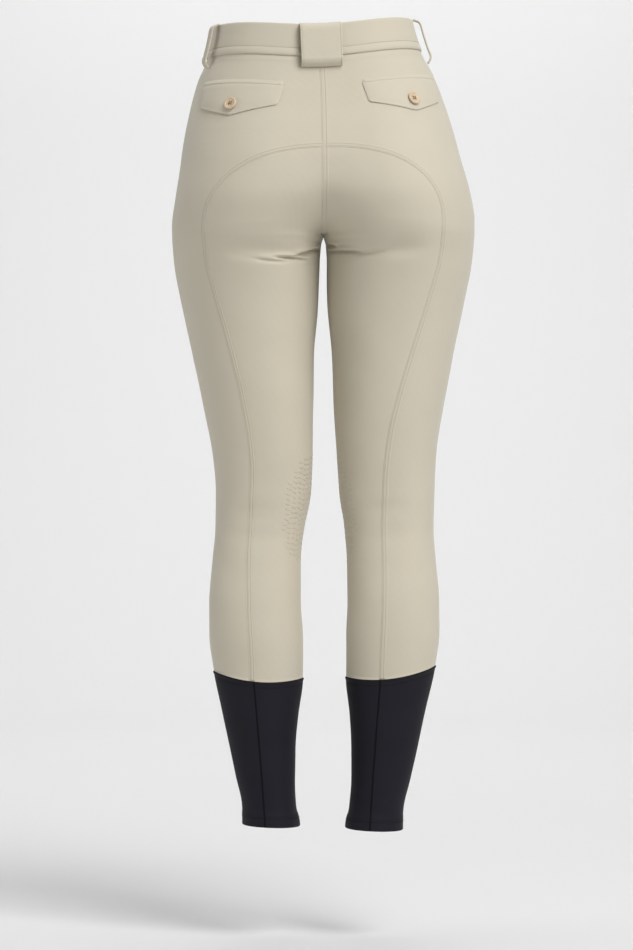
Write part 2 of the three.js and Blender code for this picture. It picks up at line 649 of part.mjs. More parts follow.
// A pocket flap lies on the back panel below its welt, pointed at the bottom and held by a button.
function addPocket(side, label) {
  const columns = 12;
  const outerEnd = turnBeyond(side, FLAP_POINT_TURN, FLAP_TOP, -FLAP_OUTER_PART);
  const innerEnd = turnBeyond(side, FLAP_POINT_TURN, FLAP_TOP, FLAP_INNER_PART);
  const level = (from, to) => (t) => ({ turn: between(from, to, t), z: FLAP_TOP });
  const stations = [
    ...evenStations(side, level(outerEnd, FLAP_POINT_TURN), columns / 2).slice(0, -1),
    ...evenStations(side, level(FLAP_POINT_TURN, innerEnd), columns / 2),
  ];
  const rows = [0, 0.33, 0.66, 1].map((share) =>
    stations.map((station, j) => {
      const fromMiddle = Math.abs(j / columns - 0.5) * 2;
      const drop = share * between(FLAP_TIP_DROP, FLAP_SIDE_DROP, fromMiddle);
      const taper = j < columns / 2 ? 1 - (share * FLAP_OUTER_TAPER) / FLAP_OUTER_PART : 1;
      const turn = FLAP_POINT_TURN + (station.turn - FLAP_POINT_TURN) * taper;
      const lift = LAY_GAP + FLAP_LIFT * share;
      return pairAt(side, turn, FLAP_TOP - drop, lift + FLAP_WALL, lift);
    }),
  );
  addPiece(`pocket_flap_${label}`, wallGeometry(rows), 'cloth');

  const weltRows = [0, 1].map((share) =>
    stations.map((station) =>
      pairAt(
        side,
        station.turn,
        between(FLAP_TOP + WELT_DROP + SEAM_GAP, FLAP_TOP + SEAM_GAP, share),
        LAY_GAP + WELT_WALL,
        LAY_GAP,
      ),
    ),
  );
  addPiece(`pocket_welt_${label}`, wallGeometry(weltRows), 'cloth');

  const clear = LAY_GAP + FLAP_WALL + FLAP_LIFT + SEAM_GAP;
  const buttonHeight = FLAP_TOP - FLAP_TIP_DROP + BUTTON_ABOVE_TIP;
  addButton(`pocket_button_${label}`, side, FLAP_POINT_TURN, buttonHeight, clear);
}

// The fly laps the right front over the middle front seam and ends in a curve.
function addFly() {
  const top = WAIST_SEAM - SEAM_GAP;
  const columns = 4;
  const steps = 9;
  const rows = Array.from({ length: steps + 1 }, (_, i) => {
    const t = i / steps;
    const z = between(top, FLY_LOW, t);
    const width = FLY_WIDTH * Math.sqrt(Math.max(0.015, 1 - clamp01((t - 0.72) / 0.28) ** 2));
    return Array.from({ length: columns + 1 }, (_, j) => {
      const across = 0.5 + (j / columns) * width;
      const turn = -Math.abs(frontTurnAcross(z, across));
      return pairAt(1, turn, z, LAY_GAP + FLY_WALL, LAY_GAP);
    });
  });
  addPiece('fly', wallGeometry(rows), 'cloth');
}

function frontTurnAcross(z, across) {
  const square = section.square(z);
  const centre = section.centre(z);
  const reach = across > centre ? section.outer(z) - centre : centre * cleftGrowth(z, false);
  const near = Math.max(-1, Math.min(1, (across - centre) / reach));
  return Math.atan2((1 - Math.abs(near) ** square) ** (1 / square), near);
}

addLegPanels(1, 'right');
addLegPanels(-1, 'left');
addCuff(1, 'right');
addCuff(-1, 'left');
addWaistband();
LOOPS.forEach(addLoop);
addPocket(1, 'right');
addPocket(-1, 'left');
addFly();
const tabTurn = frontTurnAcross(WAIST_SEAM / 2, TAB_BUTTON_IN);
addButton('waist_button', -1, -tabTurn, WAIST_SEAM / 2, BAND_WALL * 1.5 + LAY_GAP + SEAM_GAP);

export default breeches;
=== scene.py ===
"""Full-length riding breeches in the hollow form they have when worn: thin cloth shells on the forms of the
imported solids, with their laps, stitching and creases, in a plain pale studio. Sizes are in millimetres and
become metres when a mesh is made. +X is the wearer's right, +Y the wearer's front and +Z up."""

import functools
import math

import bpy
import mathutils
import numpy as np
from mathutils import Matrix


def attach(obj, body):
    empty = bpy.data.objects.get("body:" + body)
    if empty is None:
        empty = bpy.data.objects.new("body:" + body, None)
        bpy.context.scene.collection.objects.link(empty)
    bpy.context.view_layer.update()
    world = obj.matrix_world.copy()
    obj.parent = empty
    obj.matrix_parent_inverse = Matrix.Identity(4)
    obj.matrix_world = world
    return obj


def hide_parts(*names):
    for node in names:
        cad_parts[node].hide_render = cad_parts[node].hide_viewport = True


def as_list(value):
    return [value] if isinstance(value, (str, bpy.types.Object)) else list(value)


MM = 0.001

# Driving dimensions of the cut
WAIST_SEAM = -39.0
ARC_TOP = -161.0
ARC_LOW = -254.0
ARC_HALF_WIDTH = 141.0
ARC_SQUARENESS = 2.25
CROTCH = -261.0
CUFF_SEAM = -784.0
HEM = -969.0
CUFF_SLANT = 5.5
CUFF_BACK_DROP = 7.0
CUFF_SLANT_FROM = -700.0
SIDE_SEAM_TURN = math.radians(-14)
INNER_SEAM_TURN = math.radians(-128)
INNER_SEAM_SETTLES = -370.0
PANEL_WALL = 1.4
BAND_WALL = 3.0
CUFF_WALL = 1.2
CUFF_PROUD = 0.5
SEAM_GAP = 0.3
LAY_GAP = 0.4
CLEFT_BACK = 32.0
CLEFT_FRONT = 20.0
CROTCH_SOFTNESS = 9.0
BRIDGE_WIDTH = 13.0
BRIDGE_SETTLES = 70.0
LEAST_MIDDLE_DEPTH = 0.05
LEG_TURN_SHIFT = 9.0
LEG_TURN_FROM = -335.0
LEG_TURN_FULL = -620.0
BACK_DIP = 13.0
BACK_DIP_WIDTH = 95.0
BACK_DIP_FROM = -150.0
BACK_DIP_FULL = -60.0

# Level sections of one side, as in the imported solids.
SECTION_NAMES = ("z", "outer", "centre", "inner", "front", "back", "square")
SECTIONS = (
    (12, 117, 20, 0, 91, 95, 2.2),
    (0, 119, 20, 0, 92, 96, 2.2),
    (-43, 130, 26, 0, 99, 101, 2.2),
    (-66, 141.5, 31, 0, 103, 106, 2.15),
    (-102, 153, 40, 0, 108, 117, 2.1),
    (-138, 162, 51, 0, 109, 131, 2.05),
    (-174, 169, 63, 0, 107, 144, 2),
    (-210, 177, 75, 0, 103, 149, 2),
    (-246, 182, 86, 0, 99, 139, 2.05),
    (-261, 182, 91, 0, 98, 131.5, 2.1),
    (-269, 181.5, 92, 3, 97.5, 127, 2.1),
    (-290, 179.5, 91.5, 4.2, 97, 117, 2.1),
    (-340, 170.5, 87.5, 5.2, 96, 101.5, 2.1),
    (-400, 158, 83, 10.4, 91, 90, 2.1),
    (-460, 146, 78.5, 12.2, 83, 82, 2.1),
    (-520, 135.5, 75, 14.2, 72, 72, 2.15),
    (-570, 132, 75, 17, 64, 64, 2.2),
    (-610, 131.8, 78, 24, 57, 62, 2.2),
    (-650, 134.6, 81, 27.6, 47, 70, 2.1),
    (-700, 138.6, 82.7, 27.6, 37, 83, 2.05),
    (-740, 138.2, 81, 25.6, 30, 87, 2.05),
    (-783, 133, 79, 25.8, 24, 84, 2.05),
    (-830, 122.5, 76.7, 31, 17, 80, 2.05),
    (-870, 113.5, 73.5, 33.6, 13, 77, 2.05),
    (-910, 104.5, 69, 34, 10, 75, 2.1),
    (-945, 96.5, 64.5, 32, 10, 74, 2.1),
    (-965, 95.5, 61.8, 28, 13, 77, 2.1),
    (-985, 96, 61.8, 27, 15, 79, 2.1),
)
STANCE_NAMES = ("z", "sway", "turn", "roll")
STANCE = (
    (20, -15, 5.6, 2.5),
    (0, -14, 5.4, 2.5),
    (-66, -10.6, 4.6, 2.2),
    (-150, -6.4, 2.6, 1.8),
    (-210, -2.4, 1, 1.6),
    (-260, -0.8, 0, 1.2),
    (-340, -1.6, 0, 0),
    (-460, -0.8, 0, 0),
    (-560, 1.2, 0, 0),
    (-640, 0, 0, 0.6),
    (-784, 0.6, 0, 1.4),
    (-880, -0.6, 0, 0),
    (-969, -1.8, 0, -2),
    (-990, -1.8, 0, -2),
)
BACK_SEAM_NAMES = ("z", "across")
BACK_SEAM = (
    (-254, 141),
    (-283, 139),
    (-335, 126),
    (-388, 110),
    (-450, 93),
    (-504, 82),
    (-550, 78),
    (-600, 78),
    (-655, 79.5),
    (-700, 79),
    (-783, 75.5),
)
FOLDS = (
    # distance across, height, half run, half height, depth, and rise for each mm across
    (62, -281, 50, 10, 5, 0.06),
    (76, -592, 34, 13, 1.6, -0.05),
    (80, -622, 36, 12, 1.4, 0.08),
)

# Sharper creases, each from one end to the other as seen from behind (facing -1) or in front (facing 1).
# The cloth above a crease rolls over it, and the cloth below it comes back more slowly.
CREASES = (
    # facing, x and z of both ends, bow, half width and depth
    (-1, -1, -273, -35, -287.8, -1.0, 1.5, 5.6),
    (-1, -20, -291.3, -58, -289.5, 0.8, 1.2, 5.0),
    (-1, -45, -294.6, -82, -291.5, -0.6, 1.4, 2.6),
    (-1, -70, -292, -118, -283, -2.0, 4.0, 0.5),
    (-1, 1, -270, 16, -277, 0.6, 1.5, 5.4),
    (-1, 2, -278.5, 47, -283, -0.6, 1.4, 5.4),
    (-1, 36, -286, 73, -281, -1.0, 1.8, 2.2),
    (-1, 68, -282, 122, -278, -2.0, 4.5, 0.5),
    (-1, -60, -583, -96, -590, 2.0, 5.0, 0.5),
    (-1, -52, -604, -98, -600, 2.0, 5.0, 0.5),
    (-1, 56, -588, 100, -580, 2.0, 5.0, 0.5),
    (-1, 52, -606, 96, -610, 2.0, 5.0, 0.5),
    (1, -12, -243, -62, -214, 4.0, 4.5, 1.5),
    (1, 12, -246, 60, -220, 4.0, 4.5, 1.4),
    (1, -10, -262, -70, -250, 4.0, 4.0, 1.3),
    (1, 12, -264, 76, -246, 4.0, 4.5, 1.2),
    (1, -20, -282, -58, -280, 2.0, 3.5, 0.9),
    (1, 22, -285, 66, -278, 2.0, 3.5, 0.8),
    (1, -50, -560, -104, -566, 3.0, 6.0, 0.6),
    (1, 48, -566, 108, -560, 3.0, 6.0, 0.6),
)
# How fast a crease fades towards its ends, how far the cloth must face the viewer's side to have it, the
# height, place and width of the roll above it, and how much wider it is below.
CREASE_FADE = (1.3, 3.5)
CREASE_FACING = 0.35
CREASE_ROLL = (0.45, 2.6, 1.9)
CREASE_BELOW = 1.7
UNEVENNESS = 0.32
HEM_CALM = (-10.0, 60.0)
CLOTH_WAVES = (
    # share of the unevenness, then two ripples that meet: lengths along x, y and z, and where they start
    (1.0, (27, math.inf, 61, 0.7), (math.inf, -52, 43, 1.9)),
    (0.6, (15, -23, 34, 2.3), (math.inf, math.inf, 19, 0.4)),
)
# The folded edge below the waistband shows through as a faint ridge.
WAIST_RIDGE = (-44.5, 0.35, 1.5)
# The sewing draws the cloth in beside every seam.
SEAM_VALLEY = (-0.3, 2.0)
CURVE_POINTS = 1201
SEAM_POINTS = 300
SIDE_SEAM_POINTS = 450
# Share of the seat's seam that is its arc; the rest runs down to the height of the crotch.
ARC_SHARE = 0.95


def follow(names, rows):
    """Smooth functions of height through the columns of a table, with no overshoot between rows."""
    table = np.array(sorted(rows), dtype=float)
    z = table[:, 0]
    curves = {}
    for column, name in enumerate(names[1:], start=1):
        v = table[:, column]
        slope = np.diff(v) / np.diff(z)
        tangent = np.zeros_like(v)
        product = slope[:-1] * slope[1:]
        rising = product > 0
        total = np.where(rising, slope[:-1] + slope[1:], 1.0)
        tangent[1:-1] = np.where(rising, 2 * product / total, 0.0)
        curves[name] = smooth_through(z, v, tangent)
    return curves


def smooth_through(z, v, tangent):
    """A cubic through the points of one column with the given tangents."""

    def value(at):
        held = np.clip(np.asarray(at, dtype=float), z[0], z[-1])
        i = np.clip(np.searchsorted(z, held, side="right") - 1, 0, len(z) - 2)
        span = z[i + 1] - z[i]
        t = (held - z[i]) / span
        rise = t * t * (3 - 2 * t)
        bend = tangent[i] * t * (1 - t) ** 2 - tangent[i + 1] * t * t * (1 - t)
        return v[i] + (v[i + 1] - v[i]) * rise + span * bend

    return value


SECTION = follow(SECTION_NAMES, SECTIONS)
STANCE_AT = follow(STANCE_NAMES, STANCE)
BACK_SEAM_AT = follow(BACK_SEAM_NAMES, BACK_SEAM)


def ease(t):
    held = np.clip(t, 0.0, 1.0)
    return held * held * (3 - 2 * held)


def between(a, b, t):
    return a + (b - a) * t


def swell(distance, height, width):
    """A soft ridge, or a groove where its height is below zero."""
    return height * np.exp(-((distance / width) ** 2))


def cleft_growth(z, behind):
    above = np.hypot(np.maximum(0.0, z - CROTCH), CROTCH_SOFTNESS) - CROTCH_SOFTNESS
    return np.exp(above / (2 * np.where(behind, CLEFT_BACK, CLEFT_FRONT)))


def middle_turn(z, behind):
    """The turn at which a section meets the middle plane, above the crotch."""
    near = 1 / cleft_growth(z, behind)
    square = SECTION["square"](z)
    far = np.maximum(0.0, 1 - np.minimum(1.0, near**square)) ** (1 / square)
    return np.where(behind, 1, -1) * np.arctan2(far, -near)


def take_stance(x, y, z):
    """Carries points of the upright form to where the wearer's stance puts them."""
    turn = np.radians(STANCE_AT["turn"](z))
    roll = np.radians(STANCE_AT["roll"](z))
    turned_x = x * np.cos(turn) - y * np.sin(turn)
    turned_y = x * np.sin(turn) + y * np.cos(turn)
    dip = np.where(y < 0, swell(x, BACK_DIP, BACK_DIP_WIDTH), 0.0)
    up = ease((z - BACK_DIP_FROM) / (BACK_DIP_FULL - BACK_DIP_FROM))
    height = z + turned_x * np.tan(roll) - dip * up
    return np.stack([turned_x + STANCE_AT["sway"](z), turned_y, height], axis=-1)


def form_point(side, turn, z):
    """Points of the worn form, by side, turn round the leg and height."""
    side, turn, z = np.broadcast_arrays(*(np.asarray(a, dtype=float) for a in (side, turn, z)))
    behind = np.sin(turn) >= 0
    square = SECTION["square"](z)
    centre = SECTION["centre"](z)
    growth = cleft_growth(z, behind)
    above = z > CROTCH
    inward = np.where(above, centre * growth, centre - SECTION["inner"](z))
    outward = SECTION["outer"](z) - centre
    c = np.cos(turn)
    s = np.sin(turn)
    reach = (np.abs(c) ** square + np.abs(s) ** square) ** (-1 / square)
    deep = (SECTION["front"](z) + SECTION["back"](z)) / 2
    across = centre + np.where(c >= 0, outward, inward) * reach * c
    out = deep * reach * np.abs(s)
    near = 1 / growth
    far = np.maximum(LEAST_MIDDLE_DEPTH, np.maximum(0.0, 1 - near**square) ** (1 / square))
    slope = (deep / inward) * (near / far) ** (square - 1)
    settled = ease((z - CROTCH) / BRIDGE_SETTLES)
    bridge = settled * slope * BRIDGE_WIDTH * np.exp(-np.maximum(0.0, across) / BRIDGE_WIDTH)
    out = out + np.where(above, bridge, 0.0)
    for middle, level, half_run, half_height, depth, rise in FOLDS:
        along = (across - middle) / half_run
        off = (z - level - rise * (across - middle)) / half_height
        out = out - np.where(behind, depth * np.exp(-(along**4) - off**2) * np.abs(s), 0.0)
    y = (SECTION["front"](z) - SECTION["back"](z)) / 2 - np.where(behind, out, -out)
    near_cuff = ease((z - CUFF_SLANT_FROM) / (CUFF_SEAM - CUFF_SLANT_FROM))
    near_cuff = near_cuff * ease((z - HEM) / (CUFF_SEAM - HEM))
    slant = CUFF_SLANT * c - CUFF_BACK_DROP * np.maximum(0.0, s) ** 2
    return take_stance(side * (across + SEAM_GAP / 2), y, z + slant * near_cuff)


def form_slopes(side, turn, z):
    """The change of a form point with turn and with height."""
    step = 0.004
    rise = 0.4
    round_ = (form_point(side, turn + step, z) - form_point(side, turn - step, z)) / (2 * step)
    up = (form_point(side, turn, z + rise) - form_point(side, turn, z - rise)) / (2 * rise)
    return round_, up


def unit(v):
    return v / np.maximum(1e-9, np.linalg.norm(v, axis=-1, keepdims=True))


def form_normal(side, turn, z):
    round_, up = form_slopes(side, turn, z)
    return -unit(np.cross(round_, up)) * np.asarray(side, dtype=float)[..., None]


def relief(points, normals):
    """How far the cloth stands off its form: small creases, and a little unevenness everywhere."""
    x, y, z = np.moveaxis(points, -1, 0)
    calm_from, calm_run = HEM_CALM
    calm = ease((z - HEM - calm_from) / calm_run)
    total = np.zeros_like(x)
    for share, *ripples in CLOTH_WAVES:
        first, second = (np.sin(x / a + y / b + z / c + start) for a, b, c, start in ripples)
        total = total + UNEVENNESS * share * first * second * calm
    fade_rate, fade_power = CREASE_FADE
    roll_height, roll_place, roll_width = CREASE_ROLL
    for facing, x0, z0, x1, z1, bow, width, depth in CREASES:
        run_x = x1 - x0
        run_z = z1 - z0
        length = math.hypot(run_x, run_z)
        along = 2 * ((x - x0) * run_x + (z - z0) * run_z) / length**2 - 1
        off = ((z - z0) * run_x - (x - x0) * run_z) / length
        off = off * math.copysign(1, run_x) - bow * (1 - along**2)
        fade = np.exp(-fade_rate * np.abs(along) ** fade_power)
        seen = ease(normals[..., 1] * facing / CREASE_FACING)
        roll = swell(off - roll_place * width, roll_height, roll_width * width)
        trough = swell(off, -1.0, np.where(off > 0, width, CREASE_BELOW * width))
        total = total + depth * fade * seen * (roll + trough)
    return total + swell(seam_distance(points), *SEAM_VALLEY)


def seam_distance(points):
    """How far points are from the nearest seam of the panels."""
    flat = points.reshape(-1, 3)
    tree = seam_tree()
    return np.array([tree.find(p)[2] for p in flat.tolist()]).reshape(points.shape[:-1])


@functools.cache
def seam_tree():
    """The seams of both sides as closely spaced points that can be searched."""
    points = np.concatenate([form_point(*line) for line in seam_lines()])
    tree = mathutils.kdtree.KDTree(len(points))
    for i, point in enumerate(points.tolist()):
        tree.insert(point, i)
    tree.balance()
    return tree


def cloth_base(side, turn, z):
    """Points of the cloth's face and its outward directions."""
    points = form_point(side, turn, z)
    normals = form_normal(side, turn, z)
    level, height, width = WAIST_RIDGE
    ridge = swell(z - level, height, width)
    return points + normals * (relief(points, normals) + ridge)[..., None], normals


def cloth_point(side, turn, z, offset):
    """Points of the cloth, moved out from its face by an offset."""
    points, normals = cloth_base(side, turn, z)
    return points + normals * np.asarray(offset, dtype=float)[..., None]


def moved_on_form(side, turn, z, direction):
    """The turns and heights reached from form points by a step along the form."""
    round_, up = form_slopes(side, turn, z)
    a = (round_ * round_).sum(-1)
    b = (round_ * up).sum(-1)
    c = (up * up).sum(-1)
    first = (round_ * direction).sum(-1)
    second = (up * direction).sum(-1)
    det = a * c - b * b
    return turn + (c * first - b * second) / det, z + (a * second - b * first) / det


def turn_across(z, across, behind=True):
    """The turn of the point that lies a given distance from the middle, behind or in front."""
    square = SECTION["square"](z)
    centre = SECTION["centre"](z)
    growth = cleft_growth(z, behind)
    inward = np.where(z > CROTCH, centre * growth, centre - SECTION["inner"](z))
    reach = np.where(across > centre, SECTION["outer"](z) - centre, inward)
    near = np.clip((across - centre) / reach, -1, 1)
    turn = np.arctan2((1 - np.abs(near) ** square) ** (1 / square), near)
    return turn if behind else -turn


def inner_seam_turn(z):
    return between(-math.pi, INNER_SEAM_TURN, ease((CROTCH - z) / (CROTCH - INNER_SEAM_SETTLES)))


def inner_edge_turn(z, behind):
    below = inner_seam_turn(z) + (2 * math.pi if behind else 0)
    return np.where(z > CROTCH, middle_turn(z, behind), below)


def back_seam_turn(side, z, across):
    shift = LEG_TURN_SHIFT * ease((LEG_TURN_FROM - z) / (LEG_TURN_FROM - LEG_TURN_FULL))
    return turn_across(z, across - side * shift)


def run_of(points):
    """How far a line of points has gone at each of them."""
    steps = np.linalg.norm(np.diff(points, axis=0), axis=1)
    return np.concatenate([[0.0], np.cumsum(steps)])


def along_curve(side, curve, shares):
    """The turns and heights at given shares of the length of a curve of the form."""
    t = np.linspace(0, 1, CURVE_POINTS)
    turn, z = curve(t)
    length = run_of(form_point(side, turn, z))
    at = np.interp(np.asarray(shares) * length[-1], length, t)
    return np.interp(at, t, turn), np.interp(at, t, z)


def seat_arc(side):
    """The seam round the seat and down to the height of the crotch."""

    def curve(t):
        swing = np.minimum(1.0, t / ARC_SHARE) * math.pi / 2
        power = 2 / ARC_SQUARENESS
        across = ARC_HALF_WIDTH * np.sin(swing) ** power
        z = ARC_LOW + (ARC_TOP - ARC_LOW) * np.maximum(0.0, np.cos(swing)) ** power
        below = t > ARC_SHARE
        z = np.where(below, between(ARC_LOW, CROTCH, (t - ARC_SHARE) / (1 - ARC_SHARE)), z)
        across = np.where(below, BACK_SEAM_AT["across"](z), across)
        turn = back_seam_turn(side, z, across)
        return np.where(across > 0, turn, middle_turn(z, True)), z

    return curve


def rise_curve(behind, top):
    """The rise seam in the middle plane, down to the crotch point."""

    def curve(t):
        z = CROTCH + (top - CROTCH) * (1 - t) ** 2
        return middle_turn(z, behind), z

    return curve


def seam_lines():
    """The seams of the panels, each as a side, turns and heights."""
    shares = np.linspace(0, 1, SEAM_POINTS)
    leg = between(CROTCH, CUFF_SEAM, shares)
    side_z = np.linspace(WAIST_SEAM, CUFF_SEAM, SIDE_SEAM_POINTS)
    lines = []
    for side in (1, -1):
        lines.append((side, *along_curve(side, seat_arc(side), shares)))
        lines.append((side, back_seam_turn(side, leg, BACK_SEAM_AT["across"](leg)), leg))
        lines.append((side, np.full_like(side_z, SIDE_SEAM_TURN), side_z))
        lines.append((side, inner_seam_turn(leg), leg))
    for behind in (True, False):
        lines.append((1, *along_curve(1, rise_curve(behind, WAIST_SEAM), shares)))
    return lines


# Meshes


def mesh_object(name, points, faces, material):
    """A smooth mesh of one material, with its faces turned outward."""
    points = np.asarray(points, dtype=float)
    if signed_volume(points, faces) < 0:
        faces = [face[::-1] for face in faces]
    mesh = bpy.data.meshes.new(name)
    mesh.from_pydata((points * MM).tolist(), [], faces)
    mesh.validate()
    mesh.update()
    mesh.polygons.foreach_set("use_smooth", [True] * len(mesh.polygons))
    mesh.materials.append(material)
    obj = bpy.data.objects.new(name, mesh)
    bpy.context.scene.collection.objects.link(obj)
    return obj


def grid_faces(rows, columns, wrap=False):
    faces = []
    for i in range(rows - 1):
        for j in range(columns if wrap else columns - 1):
            a = i * columns + j
            b = i * columns + (j + 1) % columns
            faces.append((a, b, b + columns, a + columns))
    return faces


def shell(name, outer, inner, material, wrap=False):
    """A closed thin wall between two grids of points of the same shape."""
    rows, columns = outer.shape[:2]
    count = rows * columns
    points = np.concatenate([outer.reshape(-1, 3), inner.reshape(-1, 3)])
    faces = grid_faces(rows, columns, wrap)
    faces += [tuple(v + count for v in reversed(face)) for face in faces]
    at = np.arange(count).reshape(rows, columns)
    if wrap:
        rims = [at[0], at[-1, ::-1]]
    else:
        rims = [np.concatenate([at[0], at[1:-1, -1], at[-1, ::-1], at[-2:0:-1, 0]])]
    for rim in rims:
        for a, b in zip(rim.tolist(), np.roll(rim, -1).tolist()):
            faces.append((a, b, b + count, a + count))
    return mesh_object(name, points, faces, material)


def signed_volume(points, faces):
    """A measure that is below zero where the four-sided faces of a closed mesh look inward."""
    p = points[np.array([face for face in faces if len(face) == 4])]
    first = np.einsum("ij,ij->i", p[:, 0], np.cross(p[:, 1], p[:, 2]))
    second = np.einsum("ij,ij->i", p[:, 0], np.cross(p[:, 2], p[:, 3]))
    return float((first + second).sum())


def bars(name, rings, material):
    """One or more closed bars through rings of points, each ring going once round its bar, as one mesh."""
    rings = rings.reshape(-1, *rings.shape[-3:])
    count, stations, around = rings.shape[:3]
    first = tuple(range(around))
    last = tuple(v + (stations - 1) * around for v in first)
    one = [*grid_faces(stations, around, wrap=True), first[::-1], last]
    faces = [tuple(v + k * stations * around for v in face) for k in range(count) for face in one]
    return mesh_object(name, rings.reshape(-1, 3), faces, material)


def circle(count):
    """Angles evenly spaced round a ring."""
    return np.arange(count) * 2 * math.pi / count


def at_places(values, length, places):
    """Points or directions of a line, read at places along its length."""
    return np.stack([np.interp(places, length, column) for column in values.T], axis=1)


STITCH_PITCH = 3.0
STITCH_LENGTH = 2.1
STITCH_RADIUS = 0.3
STITCH_SIDES = 4
STITCH_SIGHT = 0.8
# Places along a stitch, in parts of its length, and how thick it is there.
STITCH_RINGS = ((-0.5, 0.35), (-0.32, 1.0), (0.32, 1.0), (0.5, 0.35))


def stitches(name, lines, material):
    """Rows of stitches along lines of (points, normals), joined into one mesh."""
    along, thick = np.array(STITCH_RINGS).T[:, :, None]
    angle = circle(STITCH_SIDES)[None, :]
    radius = STITCH_RADIUS * thick
    along = along * STITCH_LENGTH + 0 * angle
    form = np.stack([along, radius * np.cos(angle), radius * np.sin(angle)], axis=-1)
    sewn = []
    for points, normals in lines:
        length = run_of(points)
        places = np.arange(STITCH_PITCH / 2, length[-1], STITCH_PITCH)
        ahead = at_places(points, length, places + STITCH_SIGHT)
        forward = unit(ahead - at_places(points, length, places - STITCH_SIGHT))
        sideways = unit(np.cross(at_places(normals, length, places), forward))
        frames = np.stack([forward, sideways, np.cross(forward, sideways)], axis=1)
        centres = at_places(points, length, places)
        sewn.append(np.einsum("rak,nkj->nraj", form, frames) + centres[:, None, None])
    return bars(name, np.concatenate(sewn), material)


# Materials


# Scale and detail of the noise that a material's colour wanders with, and of the cloth's fuzz.
CLOTH_MOTTLE = (26.0, 4.0)
HARD_MOTTLE = (240.0, 3.0)
CLOTH_FUZZ = (1400.0, 3.0)
TWILL_REPEATS = 20
TWILL_BEND = 1.5
GRAIN_STRENGTH = 0.35
SHEEN_ROUGHNESS = 0.5


def textured(material, kind):
    """A texture node of a material that follows the object's own coordinates."""
    place = material.node_tree.nodes.new("ShaderNodeTexCoord")
    texture = material.node_tree.nodes.new(kind)
    material.node_tree.links.new(place.outputs["Object"], texture.inputs["Vector"])
    return texture


def noise(material, scale, detail):
    texture = textured(material, "ShaderNodeTexNoise")
    texture.inputs["Scale"].default_value = scale
    texture.inputs["Detail"].default_value = detail
    return texture.outputs["Fac"]


def plain_material(name, colours, roughness, gloss=0.5, mottle=HARD_MOTTLE):
    """A surface whose colour wanders between the first and the last of its colours."""
    material = bpy.data.materials.new(name)
    material.use_nodes = True
    nodes = material.node_tree.nodes
    links = material.node_tree.links
    base = nodes["Principled BSDF"]
    base.inputs["Roughness"].default_value = roughness
    base.inputs["Specular IOR Level"].default_value = gloss
    mix = nodes.new("ShaderNodeMix")
    mix.data_type = "RGBA"
    mix.inputs["A"].default_value = (*colours[0], 1)
    mix.inputs["B"].default_value = (*colours[-1], 1)
    links.new(noise(material, *mottle), mix.inputs["Factor"])
    links.new(mix.outputs["Result"], base.inputs["Base Color"])
    return material


def cloth_material(name, colours, roughness, gloss, grain, grain_depth, sheen):
    """Matte cloth with a fine diagonal grain, a little fuzz and a little mottling."""
    material = plain_material(name, colours, roughness, gloss, CLOTH_MOTTLE)
    nodes = material.node_tree.nodes
    links = material.node_tree.links
    base = nodes["Principled BSDF"]
    base.inputs["Sheen Weight"].default_value = sheen
    base.inputs["Sheen Roughness"].default_value = SHEEN_ROUGHNESS
    twill = textured(material, "ShaderNodeTexWave")
    twill.bands_direction = "DIAGONAL"
    twill.inputs["Scale"].default_value = 1 / (grain * MM * TWILL_REPEATS)
    twill.inputs["Distortion"].default_value = TWILL_BEND
    both = nodes.new("ShaderNodeMath")
    both.operation = "ADD"
    links.new(twill.outputs["Fac"], both.inputs[0])
    links.new(noise(material, *CLOTH_FUZZ), both.inputs[1])
    bump = nodes.new("ShaderNodeBump")
    bump.inputs["Strength"].default_value = GRAIN_STRENGTH
    bump.inputs["Distance"].default_value = grain_depth * MM
    links.new(both.outputs["Value"], bump.inputs["Height"])
    links.new(bump.outputs["Normal"], base.inputs["Normal"])
    return material


CLOTH_COLOURS = ((0.612, 0.560, 0.447), (0.577, 0.525, 0.415))
THREAD_COLOURS = ((0.400, 0.352, 0.262),)
CUFF_COLOURS = ((0.0130, 0.0122, 0.0180), (0.0165, 0.0155, 0.0220))
CUFF_THREAD_COLOURS = ((0.0065, 0.0065, 0.009),)
GRIP_COLOURS = ((0.572, 0.521, 0.414),)
BUTTON_COLOURS = ((0.74, 0.60, 0.42), (0.56, 0.42, 0.27))
BUTTON_THREAD_COLOURS = ((0.30, 0.21, 0.12),)
BACKDROP_COLOURS = ((0.82, 0.82, 0.82),)
# Roughness, gloss, width of the grain, depth of the grain and sheen.
CLOTH_FINISH = (0.82, 0.5, 1.1, 0.10, 0.25)
CUFF_FINISH = (0.7, 0.12, 0.9, 0.08, 0.02)


# Cloth panels

ROWS_TO_CROTCH = 132
ARC_ROW_SHARE = 1 / 3
UPPER_ROW_CROWDING = 0.6
COLUMNS = 72
COLUMN_CROWDING = 0.75
LEG_ROW_STEPS = (0.55, 4.0)
LEG_ROWS_FINE = 64
LEG_ROWS_CHANGE = 30


def crowd_to_ends(t, crowding):
    """Shares moved closer together at both ends, where the seams are."""
    return t - crowding * np.sin(2 * math.pi * t) / (2 * math.pi)


def row_shares():
    return np.linspace(0, 1, ROWS_TO_CROTCH + 1)


def column_shares():
    return crowd_to_ends(np.linspace(0, 1, COLUMNS + 1), COLUMN_CROWDING)[None, :]


def leg_heights():
    """Heights of the rows below the crotch, close together where the creases lie."""
    low = CUFF_SEAM + SEAM_GAP / 2
    steps = between(*LEG_ROW_STEPS, ease((np.arange(400) - LEG_ROWS_FINE) / LEG_ROWS_CHANGE))
    gone = np.cumsum(steps)
    count = int(np.searchsorted(gone, CROTCH - low)) + 1
    return CROTCH - gone[:count] * (CROTCH - low) / gone[count - 1]


